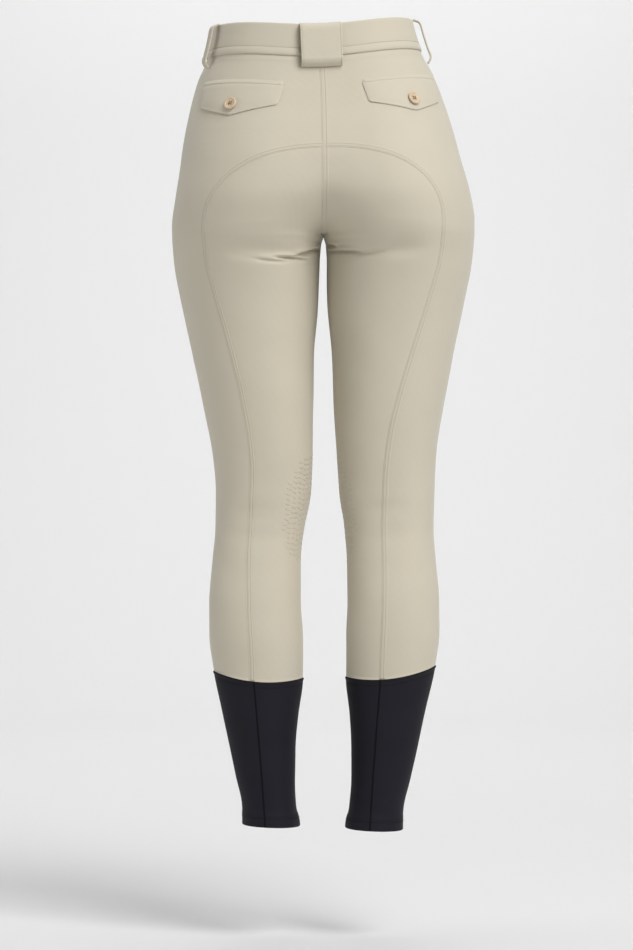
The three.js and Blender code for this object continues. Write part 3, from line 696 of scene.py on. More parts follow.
def side_heights():
    """Heights at the side seam for the rows above the crotch."""
    top = WAIST_SEAM - SEAM_GAP / 2
    share = row_shares()
    upper = between(top, ARC_TOP, crowd_to_ends(share / ARC_ROW_SHARE, UPPER_ROW_CROWDING))
    lower = between(ARC_TOP, CROTCH, (share - ARC_ROW_SHARE) / (1 - ARC_ROW_SHARE))
    return np.where(share < ARC_ROW_SHARE, upper, lower)


def to_inner(from_turn, from_z, edge_z, behind):
    """Rows of turns and heights from a seam to the inner edge, keeping clear of the cleft."""
    t = column_shares()
    z = between(from_z[:, None], edge_z[:, None], t)
    turn = between(from_turn[:, None], inner_edge_turn(z, behind), t)
    return turn, z


def panel(name, side, turn, z, material):
    outer, normals = cloth_base(side, turn, z)
    return shell(name, outer, outer - PANEL_WALL * normals, material)


def make_panels(side, label, material):
    shares = row_shares()
    legs = leg_heights()
    top = WAIST_SEAM - SEAM_GAP / 2
    side_z = np.concatenate([side_heights(), legs])
    side_turn = np.full_like(side_z, SIDE_SEAM_TURN)
    _, front_z = along_curve(side, rise_curve(False, top), shares)
    turn, z = to_inner(side_turn, side_z, np.concatenate([front_z, legs]), False)
    front = panel(f"cloth_front_{label}", side, turn, z, material)

    arc_shares = np.clip((shares - ARC_ROW_SHARE) / (1 - ARC_ROW_SHARE), 0, 1)
    arc_turn, arc_z = along_curve(side, seat_arc(side), arc_shares)
    upper = shares < ARC_ROW_SHARE
    arc_z = np.where(upper, side_heights(), arc_z)
    arc_turn = np.where(upper, middle_turn(arc_z, True), arc_turn)
    leg_turn = back_seam_turn(side, legs, BACK_SEAM_AT["across"](legs))
    seam_turn = np.concatenate([arc_turn, leg_turn])
    seam_z = np.concatenate([arc_z, legs])
    t = column_shares()
    back = panel(
        f"cloth_back_{label}",
        side,
        between(side_turn[:, None], seam_turn[:, None], t),
        between(side_z[:, None], seam_z[:, None], t),
        material,
    )

    keep = shares >= ARC_ROW_SHARE
    _, middle_z = along_curve(side, rise_curve(True, ARC_TOP), arc_shares[keep])
    below = np.concatenate([keep, np.ones(len(legs), bool)])
    turn, z = to_inner(seam_turn[below], seam_z[below], np.concatenate([middle_z, legs]), True)
    seat = panel(f"cloth_seat_{label}", side, turn, z, material)
    return front, back, seat


# Laps along the seams

# Each kind of lap: where its rows of stitches lie, then its height over the cloth by distance from its edge.
# Its ends are sunk in the cloth.
FELLED_LAP = ((1.1, 4.6), (
    (-0.5, -0.5), (-0.3, 0.15), (0.0, 0.5), (0.5, 0.62), (1.1, 0.34), (1.8, 0.6), (2.8, 0.7),
    (3.8, 0.56), (4.6, 0.1), (5.4, 0.34), (6.4, 0.16), (7.4, -0.05), (8.0, -0.5),
))
SOFT_LAP = ((1.2, 5.4), (
    (-0.5, -0.5), (-0.3, 0.0), (0.0, 0.2), (0.6, 0.32), (1.2, 0.14), (1.9, 0.32), (3.2, 0.4),
    (4.6, 0.34), (5.4, 0.04), (6.2, 0.3), (7.2, 0.12), (8.0, -0.5),
))
NARROW_LAP = ((1.5,), (
    (-0.6, -0.5), (-0.35, 0.05), (0.0, 0.36), (0.6, 0.5), (1.5, 0.24), (2.3, 0.44), (3.4, 0.1), (4.4, -0.5),
))
LAP_UNDERSIDE = -0.9
LAP_INSET = 0.4
THREAD_PROUD = 0.35 * STITCH_RADIUS
SEAT_LAP_START = -1.6
LAP_END = 1.0
INNER_LAP_BELOW_CROTCH = 6.0
ARC_STATIONS = 260
LEG_STATIONS = 300
SIDE_STATIONS = 420
INNER_STATIONS = 320
MIDDLE_LAPS = (
    # name, whether behind, first and last share of the rise, stations, kind, and start beside the middle
    ("lap_back_middle", True, 0.0, 0.97, 200, SOFT_LAP, -2.6),
    ("lap_front_middle", False, 0.4, 0.97, 120, NARROW_LAP, -1.0),
)
MIDDLE_LAP_NORMALS = 2.0


def lap(name, line, normals, kind, start, materials):
    """A lap of cloth sewn along a seam, and its rows of stitches, from a function that gives its lines."""
    rows, profile = kind
    heights = dict(profile)
    rings = [line(start + s, h) for s, h in profile]
    rings += [line(start + s, LAP_UNDERSIDE) for s in (profile[-1][0] - LAP_INSET, profile[0][0] + LAP_INSET)]
    sewn = [(line(start + s, heights[s] + THREAD_PROUD), normals) for s in rows]
    return [
        bars(name, np.stack(rings, axis=1), materials["cloth"]),
        stitches(f"{name}_stitches", sewn, materials["thread"]),
    ]


def lap_beside(name, side, turn, z, direction, kind, start, materials):
    """A lap that lies on one side of a seam."""
    ahead = unit(np.gradient(form_point(side, turn, z), axis=0))
    normals = form_normal(side, turn, z)
    across = np.cross(normals, ahead) * direction

    def line(distance, height):
        at_turn, at_z = moved_on_form(side, turn, z, across * distance)
        return cloth_point(side, at_turn, at_z, height)

    return lap(name, line, normals, kind, start, materials)


def lap_in_middle(name, z, behind, kind, start, materials):
    """A lap along the middle of the back or front, measured from the middle plane."""

    def line(x, height):
        return cloth_point(1 if x > 0 else -1, turn_across(z, abs(x), behind), z, height)

    normals = form_normal(1, turn_across(z, MIDDLE_LAP_NORMALS, behind), z)
    return lap(name, line, normals, kind, start, materials)


def make_laps(side, label, materials):
    """The laps of one side, each followed by its stitches: round the seat, at the side and the inner leg."""
    low = CUFF_SEAM + LAP_END
    leg = between(CROTCH, low, np.linspace(0, 1, LEG_STATIONS)[1:])
    arc_turn, arc_z = along_curve(side, seat_arc(side), np.linspace(0, 1, ARC_STATIONS))
    seat_turn = np.concatenate([arc_turn, back_seam_turn(side, leg, BACK_SEAM_AT["across"](leg))])
    seat_z = np.concatenate([arc_z, leg])
    side_z = np.linspace(WAIST_SEAM - LAP_END, low, SIDE_STATIONS)
    inner_z = np.linspace(CROTCH - INNER_LAP_BELOW_CROTCH, low, INNER_STATIONS)
    pieces = []
    for name, turn, z, direction, kind, start in (
        ("seat", seat_turn[2:], seat_z[2:], side, FELLED_LAP, SEAT_LAP_START),
        ("side", np.full_like(side_z, SIDE_SEAM_TURN), side_z, side, FELLED_LAP, 0.0),
        ("inner", inner_seam_turn(inner_z), inner_z, -side, NARROW_LAP, 0.0),
    ):
        pieces += lap_beside(f"lap_{name}_{label}", side, turn, z, direction, kind, start, materials)
    return pieces


def make_middle_laps(materials):
    pieces = []
    for name, behind, first, last, stations, kind, start in MIDDLE_LAPS:
        rise = rise_curve(behind, WAIST_SEAM - LAP_END)
        _, z = along_curve(1, rise, np.linspace(first, last, stations))
        pieces += lap_in_middle(name, z, behind, kind, start, materials)
    return pieces


# Cuffs

CUFF_ROWS = 84
CUFF_ROW_CROWDING = 0.6
CUFF_COLUMNS = 112
# Place, height and width of the ridges and grooves round a cuff, from its top edge and from its hem.
CUFF_TOP_RIDGES = ((1.4, 0.9, 1.3), (7.0, -0.3, 0.8))
CUFF_HEM_RIDGES = ((13.4, -0.3, 0.7),)
# Where the doubled hem ends, over what run, and how much thicker it is.
HEM_STEP = (17.2, 2.0, 0.55)
CUFF_ROUNDING = (0.9, 0.7)
CUFF_STITCH_ROWS = (CUFF_SEAM - 7.15, HEM + 13.4, HEM + 10.6)
CUFF_STITCH_PROUD = 0.12
CUFF_SEAM_ENDS = (CUFF_SEAM - 1.5, HEM + 0.8)
CUFF_SEAM_ACROSS = (
    # height, and distance of the cuff's back seam from the middle
    (-969, 62.0),
    (-900, 66.5),
    (-830, 71.5),
    (-785, 75.0),
)
CUFF_SEAM_TURN_LOSS = 0.35
CUFF_SEAM_RIDGE = (
    # distance from the seam, and height over the cuff
    (-1.3, -0.5), (-1.0, 0.12), (-0.5, 0.26), (0.0, 0.05), (0.5, 0.26), (1.0, 0.12), (1.3, -0.5),
)
CUFF_SEAM_UNDERSIDE = -0.9
CUFF_SEAM_STATIONS = 150
CUFF_STITCH_STATIONS = 420


def cuff_offset(z):
    """The cuff's face over its form: a rolled top edge, a plain tube and a doubled hem."""
    top = CUFF_SEAM - SEAM_GAP / 2 - z
    low = z - HEM
    ridges = sum(swell(top - at, height, width) for at, height, width in CUFF_TOP_RIDGES)
    ridges = ridges + sum(swell(low - at, height, width) for at, height, width in CUFF_HEM_RIDGES)
    step_at, step_run, step = HEM_STEP
    run, drop = CUFF_ROUNDING
    hem = step * ease((step_at - low) / step_run)
    return CUFF_PROUD + ridges + hem - drop * ease((run - np.minimum(top, low)) / run)


def make_cuff(side, label, materials):
    t = np.linspace(0, 1, CUFF_ROWS + 1)
    share = between(t, 0.5 - 0.5 * np.cos(math.pi * t), CUFF_ROW_CROWDING)
    z = between(CUFF_SEAM - SEAM_GAP / 2, HEM, share)[:, None]
    turn = circle(CUFF_COLUMNS)[None, :]
    outer = cloth_point(side, turn, z, cuff_offset(z))
    inner = cloth_point(side, turn, z, CUFF_PROUD - CUFF_WALL)
    tube = shell(f"cloth_cuff_{label}", outer, inner, materials["cuff"], wrap=True)

    z = np.linspace(*CUFF_SEAM_ENDS, CUFF_SEAM_STATIONS)
    across = np.interp(z, *np.array(CUFF_SEAM_ACROSS).T)
    loss = CUFF_SEAM_TURN_LOSS * (CUFF_SEAM - z) / (CUFF_SEAM - HEM)
    turn = turn_across(z, across - side * LEG_TURN_SHIFT * (1 - loss))
    ahead = unit(np.gradient(form_point(side, turn, z), axis=0))
    sideways = np.cross(form_normal(side, turn, z), ahead)
    rings = []
    for distance, height in CUFF_SEAM_RIDGE:
        at_turn, at_z = moved_on_form(side, turn, z, sideways * distance)
        rings.append(cloth_point(side, at_turn, at_z, cuff_offset(z) + height))
    rings.append(cloth_point(side, turn, z, CUFF_PROUD + CUFF_SEAM_UNDERSIDE))
    seam = bars(f"cuff_seam_{label}", np.stack(rings, axis=1), materials["cuff_thread"])

    round_turn = np.linspace(0, 2 * math.pi, CUFF_STITCH_STATIONS)
    sewn = []
    for level in CUFF_STITCH_ROWS:
        points = cloth_point(side, round_turn, level, cuff_offset(level) + CUFF_STITCH_PROUD)
        sewn.append((points, form_normal(side, round_turn, level)))
    return tube, [seam, stitches(f"cuff_stitches_{label}", sewn, materials["cuff_thread"])]


# Waistband, loops, fly

HALF_WAIST = 350.0
TAB_LENGTH = 34.0
TAB_STATIONS = 12
TAB_BUTTON_IN = 14.0
NEAREST_TO_MIDDLE = 0.6
# The band's lapped end lies over the other end and comes back to the cloth over this run.
LIFT_FROM = 14.0
LIFT_RUN = 26.0
BAND_STATIONS = 130
BAND_STITCH_STATIONS = 200
BAND_STITCH = (-29.2, 1.25)
BAND_SECTION = (
    # height, and distance from the form, once round the waistband's section
    (-1.9, 1.5), (-0.7, 1.25), (-0.1, 0.6), (0.0, 0.0), (-0.1, -0.6), (-0.7, -1.25), (-1.9, -1.5),
    (-20.0, -1.5), (-37.4, -1.5), (-38.6, -0.9), (-38.85, 0.0), (-38.6, 1.0), (-37.7, 1.75), (-36.0, 2.1),
    (-33.6, 2.15), (-31.6, 1.9), (-30.2, 1.4), (-29.2, 1.12), (-28.2, 1.3), (-26.5, 1.5), (-20.0, 1.5),
    (-12.0, 1.45), (-6.0, 1.5),
)
WAIST_TURNING = (
    # height, distance from the form and part of the band's lift, round the turned-in edge inside the seam
    (-37.0, -1.2, 1), (-37.0, -0.4, 1), (-41.0, -0.3, 0), (-41.0, -1.1, 0),
)


def waist_stations(z, count):
    """Sides, turns and lifts along the waist at given heights, from the lapped end to the other end."""
    tab = np.linspace(TAB_LENGTH, NEAREST_TO_MIDDLE, TAB_STATIONS)
    share = np.linspace(0, 1, count)
    front, back = (middle_turn(z, behind)[:, None] for behind in (False, True))
    tab_turn = turn_across(z[:, None], tab, behind=False)
    turn = [tab_turn, between(front, back, share), between(back, front, share[1:])]
    side = np.repeat([-1, 1, -1], [TAB_STATIONS, count, count - 1])
    distance = np.concatenate([-tab, HALF_WAIST * share, HALF_WAIST * (1 + share[1:])])
    lift = (BAND_WALL + LAY_GAP) * (1 - ease((distance - LIFT_FROM) / LIFT_RUN))
    return side, np.concatenate(turn, axis=1), lift


def along_waist(rows, count):
    """Lines along the waist, by height, distance from the form and part of the lift, with their normals."""
    z, offset, part = np.array(rows, dtype=float).T[:, :, None]
    side, turn, lift = waist_stations(z[:, 0], count)
    return cloth_point(side, turn, z, offset + part * lift), form_normal(side, turn, z)


def make_waistband(materials):
    points, _ = along_waist([(*row, 1) for row in BAND_SECTION], BAND_STATIONS)
    band = bars("cloth_waistband", np.swapaxes(points, 0, 1), materials["cloth"])
    points, normals = along_waist([(*BAND_STITCH, 1)], BAND_STITCH_STATIONS)
    sewn = stitches("waistband_stitches", [(points[0], normals[0])], materials["thread"])
    points, _ = along_waist(WAIST_TURNING, BAND_STATIONS)
    turning = bars("waist_turning", np.swapaxes(points[:, TAB_STATIONS:], 0, 1), materials["cloth"])
    return band, [sewn, turning]


LOOP_GAP = 7.2
LOOP_WALL = 1.8
LOOP_TOP = -2.0
LOOP_FOOT = 1.5
LOOP_BEND = 4.5
LOOP_STEPS = 64
LOOP_SMOOTHINGS = 7
# Distance in from a loop's edge, and half its thickness there in parts of the half wall.
LOOP_EDGE = ((0.0, 0.0), (0.2, 0.6), (0.7, 1.05), (1.3, 1.15), (1.8, 0.7), (2.3, 0.7), (2.9, 1.0))
LOOP_STITCH_COLUMN = 4
LOOP_END_ROWS = 4
WIDE_LOOP_FACE = (4.0, 13)
MIDDLE_BACK = 90
LOOPS = (
    # name, side, turn in degrees, width and height of the foot
    ("belt_loop_back", 1, MIDDLE_BACK, 49, -50.5),
    ("belt_loop_side_right", 1, 9, 10, -53),
    ("belt_loop_side_left", -1, 20, 10, -53),
    ("belt_loop_front_right", 1, -56, 10, -53),
    ("belt_loop_front_left", -1, -56, 10, -53),
)


def loop_path(low):
    """The heights and distances from the form of a belt loop's inner face, closely spaced."""
    face = BAND_WALL / 2 + LAY_GAP
    rows = np.array([
        (LOOP_TOP + 1.0, face),
        (LOOP_TOP - LOOP_BEND * 0.12, face + LOOP_GAP * 0.35),
        (LOOP_TOP - LOOP_BEND / 2, face + LOOP_GAP * 0.82),
        (LOOP_TOP - LOOP_BEND * 1.1, face + LOOP_GAP),
        ((LOOP_TOP + low) / 2, face + LOOP_GAP),
        (low + LOOP_BEND, face + LOOP_GAP * 0.96),
        (low + LOOP_BEND * 0.4, face + LOOP_GAP * 0.62),
        (low, LOOP_FOOT),
    ])
    length = run_of(rows)
    path = at_places(rows, length, np.linspace(0, length[-1], LOOP_STEPS))
    for _ in range(LOOP_SMOOTHINGS):
        path[1:-1] = (path[:-2] + 2 * path[1:-1] + path[2:]) / 4
    return path


def make_loop(name, side, degrees, width, low, materials):
    path = loop_path(low)
    slope = unit(np.gradient(path, axis=0))
    half = width / 2
    edge = LOOP_WALL / 2
    face = [(-half + a, edge * b) for a, b in LOOP_EDGE]
    if degrees == MIDDLE_BACK:
        inset, count = WIDE_LOOP_FACE
        face += [(s, edge) for s in np.linspace(-half + inset, half - inset, count)]
    else:
        face.append((0.0, edge))
    face += [(half - a, edge * b) for a, b in reversed(LOOP_EDGE)]
    section = np.array(face + [(s, -h) for s, h in face[-2:0:-1]])
    shift, height = section.T[:, None, :]
    z = path[:, :1] + slope[:, 1:] * (height + edge)
    offset = path[:, 1:] - slope[:, :1] * (height + edge)
    if degrees == MIDDLE_BACK:
        points = cloth_point(np.where(shift > 0, side, -side), turn_across(z, np.abs(shift)), z, offset)
    else:
        middle = math.radians(degrees)
        round_, _ = form_slopes(side, middle, z)
        points = cloth_point(side, middle + shift / np.linalg.norm(round_, axis=-1), z, offset)
    lines = []
    for column in (LOOP_STITCH_COLUMN, len(face) - 1 - LOOP_STITCH_COLUMN):
        line, beside = (points[LOOP_END_ROWS:-LOOP_END_ROWS, column + k] for k in (0, 1))
        lines.append((line, unit(np.cross(np.gradient(line, axis=0), beside - line))))
    loop = bars(f"cloth_{name}", points, materials["cloth"])
    return loop, stitches(f"{name}_stitches", lines, materials["thread"])


FLY_WIDTH = 34.0
FLY_LOW = -188.0
FLY_WALL = 1.2
FLY_START = 0.4
FLY_UNDERSIDE = -0.5
FLY_ROWS = 110
# Share of the fly's length that is straight, and the least width of its curved end in parts, squared.
FLY_STRAIGHT = 0.72
FLY_LEAST = 0.004
FLY_SECTION = (
    # share of the width, and height in parts of the wall
    (0.0, 0.1), (0.012, 0.75), (0.03, 1.0), (0.06, 0.8), (0.1, 1.0), (0.3, 1.0), (0.5, 1.0), (0.7, 1.0),
    (0.86, 0.95), (0.93, 0.6), (0.97, 0.15), (1.0, -0.5),
)
FLY_STITCH_ROWS = (4.0, 7.0)
FLY_STITCH_END = (0.8, FLY_LOW + 0.5)
FLY_STITCH_PROUD = 0.05


def make_fly(materials):
    t = np.linspace(0, 1, FLY_ROWS)
    z = between(WAIST_SEAM - SEAM_GAP, FLY_LOW, t)
    bend = np.clip((t - FLY_STRAIGHT) / (1 - FLY_STRAIGHT), 0, 1)
    width = FLY_WIDTH * np.sqrt(np.maximum(FLY_LEAST, 1 - bend**2))
    share, height = np.array(FLY_SECTION).T
    level = z[:, None]
    turn = turn_across(level, FLY_START + width[:, None] * share, behind=False)
    outer = cloth_point(1, turn, level, LAY_GAP + FLY_WALL * height)
    fly = shell("cloth_fly", outer, cloth_point(1, turn, level, FLY_UNDERSIDE), materials["cloth"])
    least, end = FLY_STITCH_END
    heights = np.append(z, end)
    lines = []
    for inset in FLY_STITCH_ROWS:
        turn = turn_across(heights, np.append(np.maximum(least, width - inset), least), behind=False)
        points = cloth_point(1, turn, heights, LAY_GAP + FLY_WALL + FLY_STITCH_PROUD)
        lines.append((points, form_normal(1, turn, heights)))
    return fly, stitches("fly_stitches", lines, materials["thread"])


# Back pockets

FLAP_TOP = -76.0
FLAP_POINT_TURN = math.radians(55)
FLAP_OUTER_PART = 61.0
FLAP_INNER_PART = 56.0
FLAP_SIDE_DROP = 28.0
FLAP_TIP_DROP = 42.0
FLAP_TIP_SOFTNESS = 0.05
FLAP_OUTER_TAPER = 8.0
FLAP_WALL = 2.0
FLAP_LIFT = 1.0
FLAP_CORNER = 2.6
FLAP_COLUMNS = 42
FLAP_ROWS = (0, 0.03, 0.1, 0.2, 0.35, 0.5, 0.65, 0.78, 0.87, 0.92, 0.955, 0.975, 0.99, 1.0)
# The flap's edge: how far it is rounded, the height of its middle in parts of the wall, where the flap is at
# its full thickness, its thickness near the edge, and the groove of its stitching (place, depth and width).
FLAP_ROUNDING = 0.8
FLAP_EDGE_HEIGHT = 0.35
FLAP_FULL_FROM = 14.0
FLAP_EDGE_WALL = 1.6
FLAP_GROOVE = (2.6, 0.22, 0.7)
# Under the welt the flap is this thin, over this run.
FLAP_ROOT = (0.55, 3.0)
WELT_SECTION = (
    # height over the flap's top, and height over the cloth
    (5.6, -0.5), (5.0, 0.05), (4.1, 0.6), (3.0, 1.15), (1.8, 1.65), (0.9, 1.95), (0.1, 2.05),
    (-0.6, 1.9), (-0.9, 1.6), (-0.7, 1.2), (0.2, 0.2), (3.0, -0.5),
)
WELT_END_RUN = 3.0
WELT_SUNK = -0.5
BUTTON_ABOVE_TIP = 13.5
TURN_STEP = 0.0005
TURN_STEPS = 4000


def turn_beyond(side, start, z, length):
    """The turn reached from another by a length along the form, level with it."""
    turns = start + math.copysign(TURN_STEP, length) * np.arange(TURN_STEPS)
    return turns[np.searchsorted(run_of(form_point(side, turns, z)), abs(length))]


def flap_stations(side):
    """Turns along the top of a flap, and how far each is from the line of its point, in parts and in mm."""
    share = np.linspace(0, 1, FLAP_COLUMNS)
    part = np.concatenate([share - 1, share[1:]])
    reach = np.abs(part)
    outer_end = turn_beyond(side, FLAP_POINT_TURN, FLAP_TOP, -FLAP_OUTER_PART)
    inner_end = turn_beyond(side, FLAP_POINT_TURN, FLAP_TOP, FLAP_INNER_PART)
    turn = between(FLAP_POINT_TURN, np.where(part < 0, outer_end, inner_end), reach)
    return turn, reach, part * np.where(part < 0, FLAP_OUTER_PART, FLAP_INNER_PART)


def flap_drop(reach, from_end):
    """How far the flap's lower edge hangs below its top, with rounded corners and a soft point."""
    soft = np.hypot(reach, FLAP_TIP_SOFTNESS) - FLAP_TIP_SOFTNESS
    corner = np.maximum(0.0, FLAP_CORNER - from_end)
    rounding = FLAP_CORNER - np.sqrt(np.maximum(0.0, FLAP_CORNER**2 - corner**2))
    return between(FLAP_TIP_DROP, FLAP_SIDE_DROP, soft) - rounding


def make_pocket(side, label, materials):
    turns, reach, length = flap_stations(side)
    from_end = np.where(length > 0, FLAP_INNER_PART - length, FLAP_OUTER_PART + length)
    drop = flap_drop(reach, from_end)
    share = np.array(FLAP_ROWS)[:, None]
    taper = 1 - share * np.where(length < 0, FLAP_OUTER_TAPER / FLAP_OUTER_PART, 0.0)
    turn = FLAP_POINT_TURN + (turns - FLAP_POINT_TURN) * taper
    z = FLAP_TOP - share * drop
    from_edge = np.minimum((1 - share) * drop, from_end)
    rounded = np.sqrt(1 - (1 - np.clip(from_edge / FLAP_ROUNDING, 0, 1)) ** 2)
    full = ease(from_edge / FLAP_FULL_FROM)
    root, root_run = FLAP_ROOT
    lift = LAY_GAP + FLAP_LIFT * share * full
    wall = between(FLAP_EDGE_WALL, FLAP_WALL, full) * between(root, 1, ease(share * drop / root_run))
    place, depth, width = FLAP_GROOVE
    top = lift + wall * between(FLAP_EDGE_HEIGHT, 1, rounded) - swell(from_edge - place, depth, width)
    outer = cloth_point(side, turn, z, top)
    inner = cloth_point(side, turn, z, lift + wall * FLAP_EDGE_HEIGHT * (1 - rounded))
    flap = shell(f"cloth_flap_{label}", outer, inner, materials["cloth"])

    ends = ease((FLAP_INNER_PART - length) / WELT_END_RUN) * ease((FLAP_OUTER_PART + length) / WELT_END_RUN)
    rings = [
        cloth_point(side, turns, FLAP_TOP + SEAM_GAP + rise, between(WELT_SUNK, height, ends))
        for rise, height in WELT_SECTION
    ]
    return flap, bars(f"cloth_welt_{label}", np.stack(rings, axis=1), materials["cloth"])


# Buttons

BUTTON_SIDES = 56
BUTTON_CLEAR = 0.2
# Radius and height round a button's section, from the middle of its back to the middle of its face.
BUTTON_PROFILE = (
    (0.0, 0.15), (6.6, 0.15), (7.5, 0.45), (7.95, 1.1), (8.0, 1.7), (7.85, 2.35), (7.3, 2.85), (6.7, 3.0),
    (6.1, 2.9), (5.5, 2.45), (4.9, 2.05), (4.0, 1.95), (0.0, 1.95),
)
HOLE_RADIUS = 1.0
HOLE_REACH = 1.9
HOLE_SIDES = 20
HOLE_LENGTH = 12.0
THREAD_STEPS = 9
THREAD_SIDES = 8
THREAD_RADIUS = 0.5
THREAD_RISE = 0.55
THREAD_END_DROP = 0.5


def button_disc(name, material):
    """A turned button with a raised rim and four holes, face up at the origin."""
    angle = circle(BUTTON_SIDES)
    rings = [
        np.stack([r * np.cos(angle), r * np.sin(angle), np.full(BUTTON_SIDES, h)], axis=1)
        for r, h in BUTTON_PROFILE[1:-1]
    ]
    points = np.concatenate([*rings, [[0, 0, BUTTON_PROFILE[0][1]], [0, 0, BUTTON_PROFILE[-1][1]]]])
    faces = grid_faces(len(rings), BUTTON_SIDES, wrap=True)
    back = len(rings) * BUTTON_SIDES
    last = back - BUTTON_SIDES
    for j in range(BUTTON_SIDES):
        after = (j + 1) % BUTTON_SIDES
        faces.append((after, j, back))
        faces.append((last + j, last + after, back + 1))
    disc = mesh_object(name, points, faces, material)
    holes = []
    for angle in circle(4) + math.pi / 4:
        x, y = HOLE_REACH * math.cos(angle), HOLE_REACH * math.sin(angle)
        bpy.ops.mesh.primitive_cylinder_add(
            vertices=HOLE_SIDES, radius=HOLE_RADIUS * MM, depth=HOLE_LENGTH * MM, location=(x * MM, y * MM, 0)
        )
        holes.append(bpy.context.object)
        cut = disc.modifiers.new("hole", "BOOLEAN")
        cut.operation = "DIFFERENCE"
        cut.solver = "EXACT"
        cut.object = holes[-1]
    evaluated = disc.evaluated_get(bpy.context.evaluated_depsgraph_get())
    drilled = bpy.data.meshes.new_from_object(evaluated)
    disc.modifiers.clear()
    disc.data = drilled
    for hole in holes:
        bpy.data.objects.remove(hole, do_unlink=True)
    return disc


def button_thread(name, material):
    """Two bars of thread, each from hole to hole."""
    reach = HOLE_REACH * math.cos(math.pi / 4)
    y = np.linspace(-reach, reach, THREAD_STEPS)
    height = BUTTON_PROFILE[-1][1] + THREAD_RISE * (1 - (y / reach) ** 4)
    height[[0, -1]] -= THREAD_END_DROP
    angle = circle(THREAD_SIDES)
    ring = THREAD_RADIUS * np.stack([np.cos(angle), 0 * angle, np.sin(angle)], axis=1)
    centres = np.array([np.stack([np.full_like(y, x), y, height], axis=1) for x in (-reach, reach)])
    return bars(name, centres[:, :, None] + ring, material)


def make_button(node, side, turn, z, offset, materials):
    """A button sewn on the cloth, in place of its solid."""
    disc = button_disc(f"horn_{node}", materials["button"])
    thread = button_thread(f"horn_{node}_thread", materials["button_thread"])
    normal = form_normal(side, turn, z)
    right = unit(np.cross((0.0, 0.0, 1.0), normal))
    matrix = np.eye(4)
    matrix[:3, :3] = np.stack([right, np.cross(normal, right), normal], axis=1)
    matrix[:3, 3] = cloth_point(side, turn, z, offset) * MM
    for piece in (disc, thread):
        piece.data.transform(mathutils.Matrix(matrix))
        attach(piece, "root")
    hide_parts(node)


# Knee grips

GRIP_CENTRE = (math.radians(178), -587.0)
GRIP_TURNED = math.radians(8)
GRIP_HALF = (58.0, 68.0)
GRIP_PITCH = (8.6, 6.0)
# How far the bars wander across and up, and how fast.
GRIP_WANDER = (1.3, 0.9, 1.5, 1.7)
GRIP_BAR = (6.4, 2.0, 0.24)
GRIP_TILT = 0.28
GRIP_TILT_WAVE = (0.5, 11.0)
GRIP_SIDES = 8
# Size and height of the rings of a bar; the last one is at its top.
GRIP_RINGS = ((1.0, -0.3), (1.0, 0.1), (0.7, GRIP_BAR[2]))


def make_grip(side, label, material):
    """A field of small slanting printed bars on the inner knee, in columns that wave a little."""
    across, up = GRIP_HALF
    step, rise = GRIP_PITCH
    length, width, _ = GRIP_BAR
    wander, wander_rate, lift, lift_rate = GRIP_WANDER
    centres = []
    for row in range(-int(up / rise), int(up / rise) + 1):
        for column in range(-int(across / step), int(across / step) + 1):
            u = column * step + wander * math.sin(row * wander_rate + column)
            v = row * rise + lift * math.sin(column * lift_rate)
            if (u / across) ** 2 + (v / up) ** 2 < 1:
                centres.append((u, v))
    centre_u, centre_v = np.array(centres).T[:, :, None]
    wave, wave_length = GRIP_TILT_WAVE
    tilt = GRIP_TILT * (1 + wave * np.sin(centre_v / wave_length))
    angle = circle(GRIP_SIDES) + math.pi / GRIP_SIDES
    u = np.sign(np.cos(angle)) * (length - width) / 2 + np.cos(angle) * width / 2
    v = np.sin(angle) * width / 2
    knee_turn, knee_z = GRIP_CENTRE[0] + side * GRIP_TURNED, GRIP_CENTRE[1]
    round_, _ = form_slopes(side, knee_turn, knee_z)
    rings = []
    for scale, height in GRIP_RINGS:
        at_u = centre_u + (u * np.cos(tilt) - v * np.sin(tilt)) * scale
        at_v = centre_v + (u * np.sin(tilt) + v * np.cos(tilt)) * scale
        turn = knee_turn - at_u / np.linalg.norm(round_)
        rings.append(cloth_point(side, turn, knee_z + at_v, height))
    return bars(f"knee_grip_{label}", np.stack(rings, axis=1), material)


# Studio

CAMERA_BACK = 4500.0
CAMERA_PLACE = (-9.1, -547.0)
PHOTO_HEIGHT = 950
PHOTO_SCALE = 1.21
SENSOR = 24.0
CLIP_END = 60
WORLD_STRENGTH = 0.22
FLOOR = -1101.0
STUDIO_SIZE = 9000.0
SWEEP_START = 3800.0
SWEEP_RADIUS = 1500.0
SWEEP_STEPS = 24
LIGHTS = (
    # name, place, what it points at, size in mm and power in watts
    ("key", (2600, -3200, 1500), (0, 0, -450), 2200, 56),
    ("high", (1500, -2400, 2800), (0, 0, -400), 2000, 99),
    ("left", (-3300, -200, 300), (0, 0, -450), 2200, 24),
    ("floor", (0, 1200, 2600), (0, 2400, -1100), 2600, 33),
    ("wall", (0, 3400, 2600), (0, 5200, -300), 2600, 55),
)


def make_camera(scene):
    data = bpy.data.cameras.new("camera")
    data.sensor_fit = "VERTICAL"
    data.sensor_height = SENSOR
    data.lens = SENSOR * CAMERA_BACK / (PHOTO_HEIGHT * PHOTO_SCALE)
    data.clip_end = CLIP_END
    camera = bpy.data.objects.new("camera", data)
    scene.collection.objects.link(camera)
    camera.location = (CAMERA_PLACE[0] * MM, -CAMERA_BACK * MM, CAMERA_PLACE[1] * MM)
    camera.rotation_euler = (math.pi / 2, 0, 0)
    scene.camera = camera


